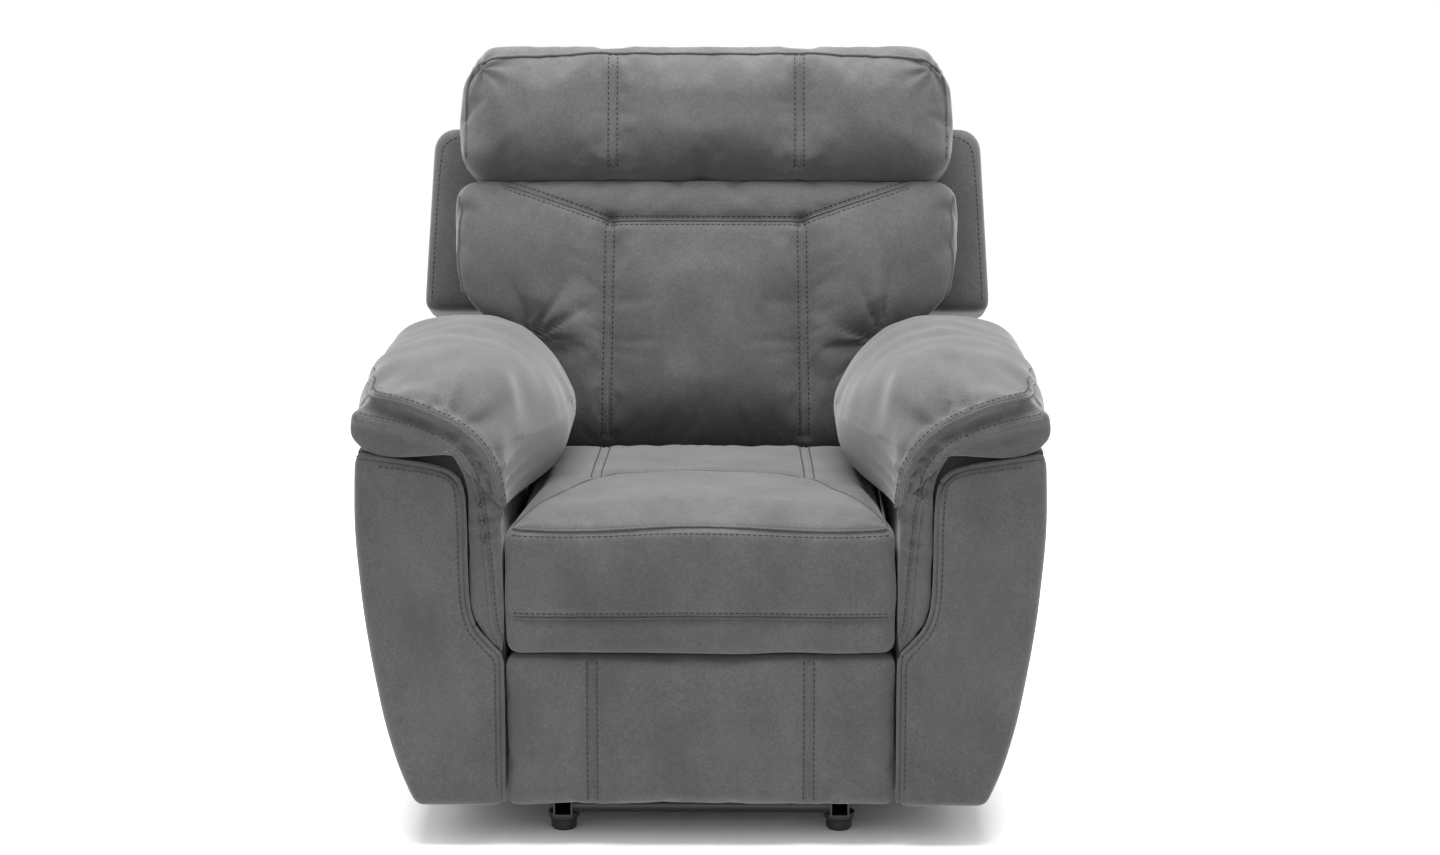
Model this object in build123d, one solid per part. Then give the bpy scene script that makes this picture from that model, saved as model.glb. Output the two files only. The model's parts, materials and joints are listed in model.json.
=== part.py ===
"""Recliner armchair: upholstered arms on a steel base, a seat on swing links, a fold-out footrest and a reclining back.

Frame: +X to the viewer's right from the front, +Y to the rear, +Z up. The origin is on the floor, at the middle of
the chair's box. Units are millimetres. Side-view outlines are given as (y, z), front-view outlines as (x, z).
"""
from build123d import *
from math import atan2, cos, degrees, hypot, radians, sin
import os

# --- driving dimensions -------------------------------------------------------------------------
FRONT_Y = -465.0            # front plane of arms and seat
ARM_BACK_Y = 288.0          # rear of the arm boxes
FLOOR_GAP = 56.0            # upholstery hangs this far above the floor
ARM_INNER_X = 262.0         # inner face of the arm boxes
ARM_FOOT_X = 378.0          # outer half width at the bottom
ARM_WIDE_X = 455.0          # outer half width at the top of the arm box
ARM_BOX_TOP = 531.0
PILLOW_TOP = 652.0
PILLOW_BACK_Y = 270.0
BOARD = 16.0                # plywood of the arm boxes
SEAT_HALF = 256.0           # half width of seat cushion and footrest pad
SEAT_EDGE_Z = 438.0         # front top edge of the seat cushion
SEAT_CROWN_Z = 460.0
SEAT_BASE_Z = 302.0
HINGE_Y, HINGE_Z = 140.0, 330.0   # backrest hinge
RAKE = 16.0                 # backrest lean from upright, degrees
STEEL = 4.0                 # link thickness
PLATE = 3.5                 # seat plate thickness
LINK_W = 24.0               # link width
PIN_R = 4.0
RUNNING = 0.08              # radial clearance of a turning rivet

# Layers of the mechanism, as the inner x of each, for the right side
LAYER_PLATE = 228.0
LAYER_TOP_LINK = 222.0      # also the swing links
LAYER_FRONT_LINK = 216.0    # also the footrest brackets and the base pivot brackets
LAYER_MAIN_LINK = 210.0
LAYER_REAR_LINK = 204.0

# --- footrest linkage, closed, as (y, z): two parallel links carry a main link that keeps its direction ---
REAR_PIVOT = (-235.8, 226.9)
CRANK_LEN = 180.6           # rear and front links
CRANK_CLOSED = 251.15       # direction at rest in degrees, from forwards towards up
MAIN_TILT = 33.07
PIVOT_GAP = 42.4            # between the cranks, along the main link
MAIN_LEN = 241.7
TOP_AT = (151.7, -7.5)      # the top link's pivot along and beside the front link
BRACKET_RISE = 32.0         # between the two pivots of the footrest bracket
CROSS_SLACK = 0.5           # clearance of the two pivots that close the loops
BRACKET_SLACK = 1.3

# --- swing links -----------------------------------------------------------------------------------
SWING_LEN = 125.0
SWING_LEAN = 18.0           # leans back this much at rest
SWING_BASE_Z = 70.0
SWING_BASE_Y = (95.0, -90.0)        # rear, front
SWING_TOP = [(y + SWING_LEN * sin(radians(SWING_LEAN)), SWING_BASE_Z + SWING_LEN * cos(radians(SWING_LEAN)))
             for y in SWING_BASE_Y]

# --- base frame --------------------------------------------------------------------------------------
RAIL_X, RAIL_W = 187.0, 26.0
RAIL_LOW, RAIL_TOP = 24.0, 52.0
RAIL_FRONT, RAIL_BACK = -400.0, 265.0
FRONT_TUBE_Y, REAR_TUBE_Y, TUBE_Z = -386.0, 246.0, 38.0
FOOT_Y = (-370.0, 242.0)
BEAM_Y = (-20.0, 195.0)
BEAM_LOW, BEAM_TOP, BEAM_W, BEAM_HALF = 52.0, 77.0, 30.0, 352.0

os.makedirs("parts", exist_ok=True)


def save(name, *shapes):
    """Writes one node, which may be a group of separate solids."""
    solids = [s for shape in shapes for s in shape.solids()]
    export_step(solids[0] if len(solids) == 1 else Compound(children=solids), f"parts/{name}.step")


def mirrored(shape):
    return mirror(shape, about=Plane.YZ)


def save_pair(name, shape):
    save(f"{name}_right", shape)
    save(f"{name}_left", mirrored(shape))


def both(shape):
    return [shape, mirrored(shape)]


def box(x0, x1, y0, y1, z0, z1):
    return Pos((x0 + x1) / 2, (y0 + y1) / 2, (z0 + z1) / 2) * Box(x1 - x0, y1 - y0, z1 - z0)


def side_solid(face, x0, x1):
    """Extrudes a (y, z) sketch from x0 to x1."""
    return extrude(Plane.YZ.offset(x0) * face, x1 - x0, dir=(1, 0, 0))


def front_solid(face, y0, y1):
    """Extrudes an (x, z) sketch from y0 to y1."""
    plane = Plane((0, y0, 0), x_dir=(1, 0, 0), z_dir=(0, -1, 0))
    return extrude(plane * face, y1 - y0, dir=(0, 1, 0))


def outline(*edges):
    """Closed face from a chain of edges or point lists."""
    return make_face(Wire(list(edges)).edges())


def poly(*points):
    return make_face(Polyline(*points, close=True))


def rod(y, z, x0, x1, radius):
    return Pos((x0 + x1) / 2, y, z) * Rot(0, 90, 0) * Cylinder(radius, x1 - x0)


def rivet(point, x0, x1, inner_head=0.0, outer_head=0.0, head=1.8):
    """A rivet along X with optional heads beyond x0 and x1."""
    y, z = point
    shape = rod(y, z, x0, x1, PIN_R)
    if inner_head:
        shape += rod(y, z, x0 - head, x0, inner_head)
    if outer_head:
        shape += rod(y, z, x1, x1 + head, outer_head)
    return shape


def heading(angle):
    """Unit (y, z) of a direction given in degrees from forwards (-Y) towards up."""
    return -cos(radians(angle)), sin(radians(angle))


def along(start, angle, length, beside=0.0):
    y, z = heading(angle)
    by, bz = heading(angle + 90)
    return start[0] + y * length + by * beside, start[1] + z * length + bz * beside


def link(start, end, x0, holes, width=LINK_W, bosses=()):
    """Flat bar between two side-view points with round ends, holes as (point, radius) and wider bosses."""
    middle = ((start[0] + end[0]) / 2, (start[1] + end[1]) / 2)
    turn = degrees(atan2(end[1] - start[1], end[0] - start[0]))
    face = Pos(*middle) * Rot(0, 0, turn) * SlotCenterToCenter(hypot(end[0] - start[0], end[1] - start[1]), width)
    for point, radius in bosses:
        face += Pos(*point) * Circle(radius)
    for point, radius in holes:
        face -= Pos(*point) * Circle(radius)
    return side_solid(face, x0, x0 + STEEL)


# --- base -------------------------------------------------------------------------------------------

def base_rail():
    width, height = RAIL_W, RAIL_TOP - RAIL_LOW
    tube = Pos(RAIL_X, (RAIL_LOW + RAIL_TOP) / 2) * (Rectangle(width, height) - Rectangle(width - 5, height - 5))
    return front_solid(tube, RAIL_FRONT, RAIL_BACK)


def foot(y):
    """Moulded glide: a wide cap under the rail, tapering to its sole."""
    half = make_face(Polyline((0, 0), (15, 0), (17, 3), (18, 14), (21, 17), (21, 24), (0, 24), close=True))
    return Pos(RAIL_X, y, 0) * revolve(Plane.XZ * half, Axis.Z)


def cross_tube(y, z):
    inner = RAIL_X - RAIL_W / 2
    return rod(y, z, -inner, inner, 11) - rod(y, z, -inner - 1, inner + 1, 9)


def arm_beam(y):
    body = box(-BEAM_HALF, BEAM_HALF, y - BEAM_W / 2, y + BEAM_W / 2, BEAM_LOW, BEAM_TOP)
    wall = 2.5
    return body - box(-BEAM_HALF - 1, BEAM_HALF + 1, y - BEAM_W / 2 + wall, y + BEAM_W / 2 - wall,
                      BEAM_LOW + wall, BEAM_TOP - wall)


def pivot_bracket(y):
    """Steel angle on the base rail that carries a swing link."""
    x0, x1 = LAYER_FRONT_LINK, LAYER_FRONT_LINK + STEEL
    ear = poly((y - 22, RAIL_TOP), (y + 22, RAIL_TOP), (y + 22, 62), (y + 12, 84), (y - 12, 84), (y - 22, 62))
    ear -= Pos(y, SWING_BASE_Z) * Circle(PIN_R)
    return side_solid(ear, x0, x1) + box(RAIL_X - 10, x0, y - 22, y + 22, RAIL_TOP, RAIL_TOP + 3)


def swing_link(base_y, top):
    holes = [((base_y, SWING_BASE_Z), PIN_R + RUNNING), (top, PIN_R + RUNNING)]
    return link((base_y, SWING_BASE_Z), top, LAYER_TOP_LINK, holes, width=26)


def make_base():
    save_pair("base_rail", base_rail())
    feet = [foot(y) for y in FOOT_Y]
    save("base_feet", *[s for f in feet for s in both(f)])
    save("base_front_tube", cross_tube(FRONT_TUBE_Y, TUBE_Z))
    save("base_rear_tube", cross_tube(REAR_TUBE_Y, TUBE_Z))
    save("arm_beam_front", arm_beam(BEAM_Y[0]))
    save("arm_beam_rear", arm_beam(BEAM_Y[1]))
    save("base_pivot_brackets", *[s for y in SWING_BASE_Y for s in both(pivot_bracket(y))])
    pins = [rivet((y, SWING_BASE_Z), LAYER_FRONT_LINK, LAYER_TOP_LINK + STEEL, 7, 6.5) for y in SWING_BASE_Y]
    save("base_rivets", *[s for p in pins for s in both(p)])


def make_swing_links():
    for name, base_y, top in zip(("rear", "front"), SWING_BASE_Y, SWING_TOP):
        save(f"swing_links_{name}", *both(swing_link(base_y, top)))


# --- arms --------------------------------------------------------------------------------------------

def arm_side_curve(inset=0.0):
    """Outer side of the arm in front view: narrow at the foot, flaring to its full width above mid height."""
    foot_x, wide_x = ARM_FOOT_X - inset, ARM_WIDE_X - inset
    return Spline((foot_x, FLOOR_GAP), (wide_x - 33, 200), (wide_x - 8, 345), (wide_x, 480), (wide_x - 4, ARM_BOX_TOP),
                  tangents=((0.5, 1), (-0.12, 1)))


def arm_front_face(inset=0.0):
    """Front panel of the arm, cut back at the top inside for the pillow that drops down over it."""
    side = arm_side_curve(inset)
    bottom, top = side @ 0, side @ 1
    edges = [side, Line((top.X, top.Y), (345, 515)), ThreePointArc((345, 515), (319, 503), (308, 477)),
             Line((308, 477), (308, 345)), ThreePointArc((308, 345), (300, 300), (ARM_INNER_X, 264)),
             Line((ARM_INNER_X, 264), (ARM_INNER_X, FLOOR_GAP)), Line((ARM_INNER_X, FLOOR_GAP), (bottom.X, bottom.Y))]
    return outline(*edges)


def arm_box_face(inset=0.0, inner=ARM_INNER_X, low=FLOOR_GAP, top=ARM_BOX_TOP):
    """Full section of the arm box between its inner face and the flared side."""
    side = arm_side_curve(inset)
    whole = outline(side, Line(side @ 1, (200, (side @ 1).Y)), Line((200, (side @ 1).Y), (200, FLOOR_GAP)),
                    Line((200, FLOOR_GAP), side @ 0))
    return whole & Pos((inner + 500) / 2, (low + top) / 2) * Rectangle(500 - inner, top - low)


HANDLE_Y, HANDLE_Z = -150.0, 395.0          # middle of the release handle
HANDLE_L, HANDLE_H = 136.0, 62.0
HANDLE_FACE = 449.5         # x of the rim's back
COVER_WALL = 18.0


def handle_pocket(x0, margin):
    """Block cut from the cover for the tub of the release handle, or for its rim."""
    half_length, half_height = HANDLE_L / 2 + margin, HANDLE_H / 2 + margin
    return box(x0, 500, HANDLE_Y - half_length, HANDLE_Y + half_length, HANDLE_Z - half_height, HANDLE_Z + half_height)


def arm_cover(with_handle):
    """Padded outer cover: front panel, flared side and rear wall in one C-shaped shell."""
    front_wall = 44.0
    shell = front_solid(arm_box_face(), FRONT_Y + front_wall, ARM_BACK_Y + 12)
    shell -= front_solid(arm_box_face(COVER_WALL, inner=200, low=FLOOR_GAP), FRONT_Y + front_wall, ARM_BACK_Y)
    shell += front_solid(arm_front_face(), FRONT_Y, FRONT_Y + front_wall)
    if with_handle:
        shell -= handle_pocket(380, 0)
        shell -= handle_pocket(HANDLE_FACE, 8.5)
    return shell


def arm_boards():
    """The plywood box inside an arm."""
    y0, y1 = FRONT_Y + 62, ARM_BACK_Y - BOARD
    low, top = BEAM_TOP, ARM_BOX_TOP - BOARD
    outer_x = 358.0
    inner = box(ARM_INNER_X, ARM_INNER_X + BOARD, y0, y1, low, top)
    outer = box(outer_x, outer_x + BOARD, y0, y1, low + BOARD, top)
    floor = box(ARM_INNER_X + BOARD, outer_x - 6, y0, y1, low, low + BOARD)
    notch = Pos(250, 400) * Rectangle(120, 280)
    front = front_solid(arm_box_face(COVER_WALL + 2, low=low, top=top) - notch, y0 - BOARD, y0)
    rear = front_solid(arm_box_face(COVER_WALL + 2, low=low, top=top), y1, y1 + BOARD)
    rest = box(ARM_INNER_X, 432, y0, y1 + BOARD, top, ARM_BOX_TOP)
    return {"inner_board": inner, "outer_board": outer, "floor_board": floor, "front_board": front,
            "rear_board": rear, "rest_board": rest}


def arm_pillow():
    """Soft arm top: a fat roll that hangs over inside and drops down the front of the arm."""
    roll = outline(Line((ARM_INNER_X + 2, ARM_BOX_TOP + 2), (448, ARM_BOX_TOP + 2)),
                   Spline((448, ARM_BOX_TOP + 2), (452, 575), (415, 622), (330, PILLOW_TOP), (240, 610),
                          (ARM_INNER_X - 70, 545), (ARM_INNER_X - 58, 480), (ARM_INNER_X - 2, 456)),
                   Line((ARM_INNER_X - 2, 456), (ARM_INNER_X - 2, ARM_BOX_TOP + 2)),
                   Line((ARM_INNER_X - 2, ARM_BOX_TOP + 2), (ARM_INNER_X + 2, ARM_BOX_TOP + 2)))
    length = outline(Line((-459, 440), (-459, 560)),
                     Spline((-459, 560), (-425, 618), (-320, PILLOW_TOP - 6), (-60, PILLOW_TOP), (20, PILLOW_TOP - 2),
                            (62, 640), (100, 614), (150, 596), (200, 574), (PILLOW_BACK_Y, 546)),
                     Line((PILLOW_BACK_Y, 546), (PILLOW_BACK_Y, 440)), Line((PILLOW_BACK_Y, 440), (-459, 440)))
    body = front_solid(roll, -460, PILLOW_BACK_Y) & side_solid(length, 150, 470)
    body -= box(150, ARM_INNER_X + 2, 42, 310, 400, 700)
    drop = outline(Line((ARM_INNER_X + 1, 268), (ARM_INNER_X + 1, 560)), Line((ARM_INNER_X + 1, 560), (330, 560)),
                   Line((330, 560), (330, 518)), ThreePointArc((330, 518), (313, 508), (306, 490)),
                   Line((306, 490), (306, 345)), ThreePointArc((306, 345), (297, 302), (ARM_INNER_X + 1, 268)))
    front = front_solid(drop, -462, FRONT_Y + 44)
    return body + front


def make_release_handle():
    """Recessed pull handle on one arm: a moulded tub with a paddle that swings out from a pin at its front."""
    face_x, depth, wall = HANDLE_FACE, 40.0, 3.0
    y0, y1 = HANDLE_Y - HANDLE_L / 2 + 0.3, HANDLE_Y + HANDLE_L / 2 - 0.3
    z0, z1 = HANDLE_Z - HANDLE_H / 2 + 0.3, HANDLE_Z + HANDLE_H / 2 - 0.3
    tub = box(face_x - depth, face_x, y0, y1, z0, z1)
    tub -= box(face_x - depth + wall, face_x + 1, y0 + wall, y1 - wall, z0 + wall, z1 - wall)
    rim = box(face_x, face_x + 3, y0 - 8, y1 + 8, z0 - 8, z1 + 8)
    rim = fillet(rim.edges().filter_by(Axis.X), 9)
    rim -= box(face_x - 1, face_x + 5, y0 + wall, y1 - wall, z0 + wall, z1 - wall)
    pin_y, pin_x = y0 + 13, face_x - 8
    pin = Pos(pin_x, pin_y, HANDLE_Z) * Cylinder(2.5, z1 - z0 - 2 * wall)
    save("release_bezel_left", mirrored(tub + rim))
    save("release_pin_left", mirrored(pin))
    paddle = box(face_x - 11, face_x - 4, pin_y, y1 - 46, z0 + wall + 2, z1 - wall - 2)
    paddle = fillet(paddle.edges().filter_by(Axis.X).sort_by(Axis.Y)[-2:], 8)
    barrel = Pos(pin_x, pin_y, HANDLE_Z) * Cylinder(6, z1 - z0 - 2 * wall - 4)
    lip = box(face_x - 20, face_x - 11, y1 - 56, y1 - 51, z0 + wall + 8, z1 - wall - 8)
    bore = Pos(pin_x, pin_y, HANDLE_Z) * Cylinder(2.5 + RUNNING, z1 - z0)
    save("release_handle_left", mirrored(paddle + barrel + lip - bore))


def make_arms():
    save("arm_cover_right", arm_cover(False))
    save("arm_cover_left", mirrored(arm_cover(True)))
    save_pair("arm_pillow", arm_pillow())
    for name, shape in arm_boards().items():
        save(f"arm_{name}s", *both(shape))
    make_release_handle()


# --- seat ---------------------------------------------------------------------------------------------

def zigzag(length, pitch, width, wire=1.9):
    """Sinuous wire spring along Y, centred on the origin."""
    count = int(length / pitch)
    points = [(0, -length / 2)]
    for i in range(count):
        side = width / 2 if i % 2 else -width / 2
        start = -pitch * count / 2 + i * pitch
        points += [(side, start + pitch * 0.08), (side, start + pitch * 0.92)]
    points.append((0, length / 2))
    path = FilletPolyline(*points, radius=pitch * 0.4)
    start = path @ 0
    ring = Plane(origin=start, z_dir=path % 0) * Circle(wire)
    return sweep(ring, path=path)


def seat_plate():
    """Main side plate of the mechanism, which carries every seat pivot."""
    face = poly((165, 176), (-80, 174), (-236, 204), (-290, 226), (-352, 262), (-362, 298), (112, 298), (122, 352),
                (165, 352))
    face = fillet(face.vertices(), 8)
    for point in [REAR_PIVOT, FRONT_PIVOT, *SWING_TOP, (HINGE_Y, HINGE_Z)]:
        face -= Pos(*point) * Circle(PIN_R)
    for y in SEAT_BOLT_Y:
        face -= Pos(y, SEAT_BOLT_Z) * Circle(3.5)
    return side_solid(face, LAYER_PLATE, LAYER_PLATE + PLATE)


SEAT_BOLT_Y, SEAT_BOLT_Z = (-180.0, -40.0, 70.0), 262.0
SEAT_RAIL_X = (LAYER_PLATE + PLATE + 0.5, SEAT_HALF)


def hinge_spacer():
    """Shoulder of the hinge rivet, which holds the back bracket off the seat plate."""
    return rod(HINGE_Y, HINGE_Z, LAYER_PLATE + PLATE, BRACKET_X - 0.3, 9)


def make_seat():
    save_pair("seat_plate", seat_plate())
    x0, x1 = SEAT_RAIL_X
    rail = box(x0, x1, -424, 106, 208, 300)
    rail -= box(x0 - 1, x1 + 1, -425, -385, 200, 266)
    for y in SEAT_BOLT_Y:
        rail -= rod(y, SEAT_BOLT_Z, x0 - 1, x0 + 18, 3.5)
    save_pair("seat_side_rail", rail)
    bolts = [rod(y, SEAT_BOLT_Z, LAYER_PLATE, x0 + 18, 3.5) + rod(y, SEAT_BOLT_Z, LAYER_PLATE - 2, LAYER_PLATE, 6.5)
             for y in SEAT_BOLT_Y]
    save("seat_bolts", *[s for b in bolts for s in both(b)])
    save("seat_front_rail", box(-x0, x0, -424, -396, 266, 296))
    save("seat_rear_rail", box(-LAYER_PLATE + 1, LAYER_PLATE - 1, 78, 104, 240, 296))
    springs = [Pos(x, -160, 298.5) * zigzag(512, 27, 46) for x in (-180, -90, 0, 90, 180)]
    save("seat_springs", *springs)
    side = outline(Line((-426, 264), (-448, 264)), ThreePointArc((-448, 264), (-460, 270), (-464, 284)),
                   Line((-464, 284), (-464, 408)), ThreePointArc((-464, 408), (-456, 429), (-436, SEAT_EDGE_Z)),
                   ThreePointArc((-436, SEAT_EDGE_Z), (-160, SEAT_CROWN_Z), (108, SEAT_EDGE_Z)),
                   Line((108, SEAT_EDGE_Z), (108, SEAT_BASE_Z)), Line((108, SEAT_BASE_Z), (-426, SEAT_BASE_Z)),
                   Line((-426, SEAT_BASE_Z), (-426, 264)))
    crown = outline(Line((-SEAT_HALF, 260), (-SEAT_HALF, SEAT_EDGE_Z)),
                    Spline((-SEAT_HALF, SEAT_EDGE_Z), (-170, SEAT_CROWN_Z), (170, SEAT_CROWN_Z), (SEAT_HALF, SEAT_EDGE_Z)),
                    Line((SEAT_HALF, SEAT_EDGE_Z), (SEAT_HALF, 260)), Line((SEAT_HALF, 260), (-SEAT_HALF, 260)))
    save("seat_cushion", side_solid(side, -SEAT_HALF, SEAT_HALF) & front_solid(crown, FRONT_Y, 120))
    pins = [rivet(REAR_PIVOT, LAYER_REAR_LINK, LAYER_PLATE + PLATE, 8),
            rivet(FRONT_PIVOT, LAYER_FRONT_LINK, LAYER_PLATE + PLATE, 8),
            *[rivet(p, LAYER_TOP_LINK, LAYER_PLATE + PLATE, 7) for p in SWING_TOP],
            rivet((HINGE_Y, HINGE_Z), LAYER_PLATE, BRACKET_X + STEEL, 8, 8) + hinge_spacer()]
    save("seat_rivets", *[s for p in pins for s in both(p)])


# --- footrest ------------------------------------------------------------------------------------------

FRONT_PIVOT = along(REAR_PIVOT, MAIN_TILT, PIVOT_GAP)
KNEE = along(REAR_PIVOT, CRANK_CLOSED, CRANK_LEN)
FRONT_END = along(FRONT_PIVOT, CRANK_CLOSED, CRANK_LEN)
LOWER_PIVOT = along(KNEE, MAIN_TILT, MAIN_LEN)
TOP_PIVOT = along(FRONT_PIVOT, CRANK_CLOSED, *TOP_AT)
UPPER_PIVOT = (LOWER_PIVOT[0], LOWER_PIVOT[1] + BRACKET_RISE)
PAD_LOW, PAD_TOP = FLOOR_GAP, 261.0
PAD_BACK_Y = -395.0


def footrest_bracket():
    """Angle bracket: a web with both pivots, and a flange that screws to the footrest board."""
    web = poly((LOWER_PIVOT[0] + 16, 96), (LOWER_PIVOT[0] + 16, 236), (PAD_BACK_Y, 236), (PAD_BACK_Y, 96))
    web -= Pos(*LOWER_PIVOT) * Circle(PIN_R)
    web -= Pos(*UPPER_PIVOT) * Circle(PIN_R + BRACKET_SLACK)
    flange = box(184, LAYER_FRONT_LINK, PAD_BACK_Y, PAD_BACK_Y + STEEL, 98, 158)
    return side_solid(web, LAYER_FRONT_LINK, LAYER_FRONT_LINK + STEEL) + flange


def make_footrest():
    free = PIN_R + RUNNING
    rear = link(REAR_PIVOT, KNEE, LAYER_REAR_LINK, [(REAR_PIVOT, free), (KNEE, PIN_R)])
    save("rear_links", *both(rear))
    tube = rod(*REAR_PIVOT, -LAYER_REAR_LINK, LAYER_REAR_LINK, 12)
    tube -= rod(*REAR_PIVOT, -LAYER_REAR_LINK - 1, LAYER_REAR_LINK + 1, 9.8)
    save("footrest_torque_tube", tube)
    save("rear_link_rivets", *both(rivet(KNEE, LAYER_REAR_LINK, LAYER_MAIN_LINK + STEEL, 7, 7)))
    front = link(FRONT_PIVOT, FRONT_END, LAYER_FRONT_LINK,
                 [(FRONT_PIVOT, free), (FRONT_END, PIN_R), (TOP_PIVOT, PIN_R)], bosses=[(TOP_PIVOT, 12)])
    save("front_links", *both(front))
    pins = [rivet(FRONT_END, LAYER_MAIN_LINK, LAYER_FRONT_LINK + STEEL, 8, 0),
            rivet(TOP_PIVOT, LAYER_FRONT_LINK, LAYER_TOP_LINK + STEEL, 0, 7)]
    save("front_link_rivets", *[s for p in pins for s in both(p)])
    main = link(KNEE, LOWER_PIVOT, LAYER_MAIN_LINK,
                [(KNEE, free), (FRONT_END, PIN_R + CROSS_SLACK), (LOWER_PIVOT, free)])
    save("main_links", *both(main))
    top = link(TOP_PIVOT, UPPER_PIVOT, LAYER_TOP_LINK, [(TOP_PIVOT, free), (UPPER_PIVOT, PIN_R)])
    save("top_links", *both(top))
    save("top_link_rivets", *both(rivet(UPPER_PIVOT, LAYER_FRONT_LINK, LAYER_TOP_LINK + STEEL, 9, 0, head=1.6)))
    save("footrest_brackets", *both(footrest_bracket()))
    save("footrest_rivets", *both(rivet(LOWER_PIVOT, LAYER_MAIN_LINK, LAYER_FRONT_LINK + STEEL, 7, 0)))
    save("footrest_board", box(-234, 234, PAD_BACK_Y - 12, PAD_BACK_Y, 72, 244))
    pad = box(-SEAT_HALF, SEAT_HALF, FRONT_Y + 4, PAD_BACK_Y - 12, PAD_LOW, PAD_TOP)
    pad = fillet(pad.edges().filter_by(Axis.X).group_by(Axis.Y)[0], 14)
    save("footrest_pad", pad)


# --- backrest -----------------------------------------------------------------------------------------

BRACKET_X = 239.0
COVER_HALF = 432.0          # half width of the back's wings
WING_LOW, WING_TOP = 312.0, 596.0
WING_TAPER = 13.0           # the wings narrow by this much towards their top
COVER_BACK = 152.0
COVER_SKIN = 14.0
LUMBAR_FRONT, LUMBAR_TOP = -116.0, 491.0
LUMBAR_HALF, LOBE_HALF = 248.0, 373.0
HEADREST_HALF = 366.0
HEADREST_TOP, HEADREST_BACK = 690.0, 140.2
TILT = Pos(0, HINGE_Y, HINGE_Z) * Rot(-RAKE, 0, 0)


def on_back(shape):
    """From the back's own upright frame, with its origin at the hinge, to its raked place."""
    return TILT * shape


def back_bracket():
    face = poly((-14, -12), (14, -16), (34, 40), (60, 70), (60, 230), (26, 230), (24, 90), (-14, 14))
    face = fillet(face.vertices(), 6)
    face -= Circle(PIN_R + RUNNING)
    return side_solid(face, BRACKET_X, BRACKET_X + STEEL)


def lumbar_cushion():
    """T-shaped cushion: narrow between the arms, with lobes that reach out above them."""
    side = poly((LUMBAR_FRONT, 94), (LUMBAR_FRONT, LUMBAR_TOP), (12, LUMBAR_TOP), (12, 118))
    stem = side_solid(side, -LUMBAR_HALF, LUMBAR_HALF)
    lobe_side = poly((LUMBAR_FRONT, 274), (LUMBAR_FRONT, LUMBAR_TOP), (28, LUMBAR_TOP), (28, 346))
    lobe = side_solid(lobe_side, LUMBAR_HALF - 6, LOBE_HALF)
    body = stem + lobe + mirrored(lobe)
    body = fillet(body.edges().filter_by(Axis.X).group_by(Axis.Z)[-1].sort_by(Axis.Y)[0:1], 20)
    return body


def headrest_cushion():
    half = HEADREST_HALF
    front = box(-half, half, -124, 14, LUMBAR_TOP + 6, HEADREST_TOP)
    front = fillet(front.edges().filter_by(Axis.X).group_by(Axis.Y)[0], 30)
    top = box(-half, half, 13, HEADREST_BACK, 602, HEADREST_TOP)
    top -= box(-242, 242, 14, 68, 600, HEADREST_TOP - 16)
    body = front + top
    return fillet(body.edges().filter_by(Axis.Y).group_by(Axis.Z)[-1], 30)


def back_cover():
    """Outer cover: a wide upper shell with wings each side and a narrow skirt between the arms."""
    low, top = COVER_HALF, COVER_HALF - WING_TAPER
    upper = front_solid(poly((-low, WING_LOW), (low, WING_LOW), (top, WING_TOP), (-top, WING_TOP)), 30, COVER_BACK)
    upper = fillet(upper.edges().filter_by(Axis.Y).group_by(Axis.Z)[-1], 26)
    low, top, inside = low - COVER_SKIN, top - COVER_SKIN, WING_TOP - COVER_SKIN
    hollow = poly((-low, WING_LOW - 5), (low, WING_LOW - 5), (top, inside), (-top, inside))
    upper -= front_solid(hollow, 30 + COVER_SKIN, COVER_BACK - COVER_SKIN)
    upper -= box(-242, 242, 20, 64, WING_LOW - 5, 600)
    lower = box(-256, 256, 66, COVER_BACK, 20, WING_LOW) - box(-246, 246, 60, COVER_BACK - COVER_SKIN, 10, WING_LOW + 5)
    return upper + lower


def make_back():
    save_pair("back_bracket", on_back(back_bracket()))
    post = box(214, BRACKET_X, 22, 62, 42, 662)
    save_pair("back_post", on_back(post))
    for name, low, high in (("bottom", 60, 100), ("middle", 430, 470), ("top", 622, 662)):
        save(f"back_{name}_rail", on_back(box(-214, 214, 24, 60, low, high)))
    save("back_wing_boards", *both(on_back(box(BRACKET_X, 398, 45, 61, 346, 576))))
    springs = [Pos(x, 19.5, 270) * Rot(90, 0, 0) * zigzag(400, 27, 46) for x in (-135, -45, 45, 135)]
    save("back_springs", *[on_back(s) for s in springs])
    save("lumbar_cushion", on_back(lumbar_cushion()))
    save("headrest_cushion", on_back(headrest_cushion()))
    save("back_cover", on_back(back_cover()))


def make_rear_flap():
    """Fabric panel that closes the gap between the arms behind the mechanism, hung from a batten."""
    back = ARM_BACK_Y - BOARD
    save("rear_flap_batten", box(-ARM_INNER_X, ARM_INNER_X, back - 14, back, 255, 281))
    save("rear_flap", box(-256, 256, back, back + 6, 84, 281))


make_base()
make_swing_links()
make_arms()
make_seat()
make_footrest()
make_back()
make_rear_flap()
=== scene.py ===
"""Looks of a recliner armchair: upholstery, stitching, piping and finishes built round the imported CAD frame.

Units are metres in the frame's own axes: +X to the viewer's right from the front, +Y to the rear, +Z up.
"""

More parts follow.
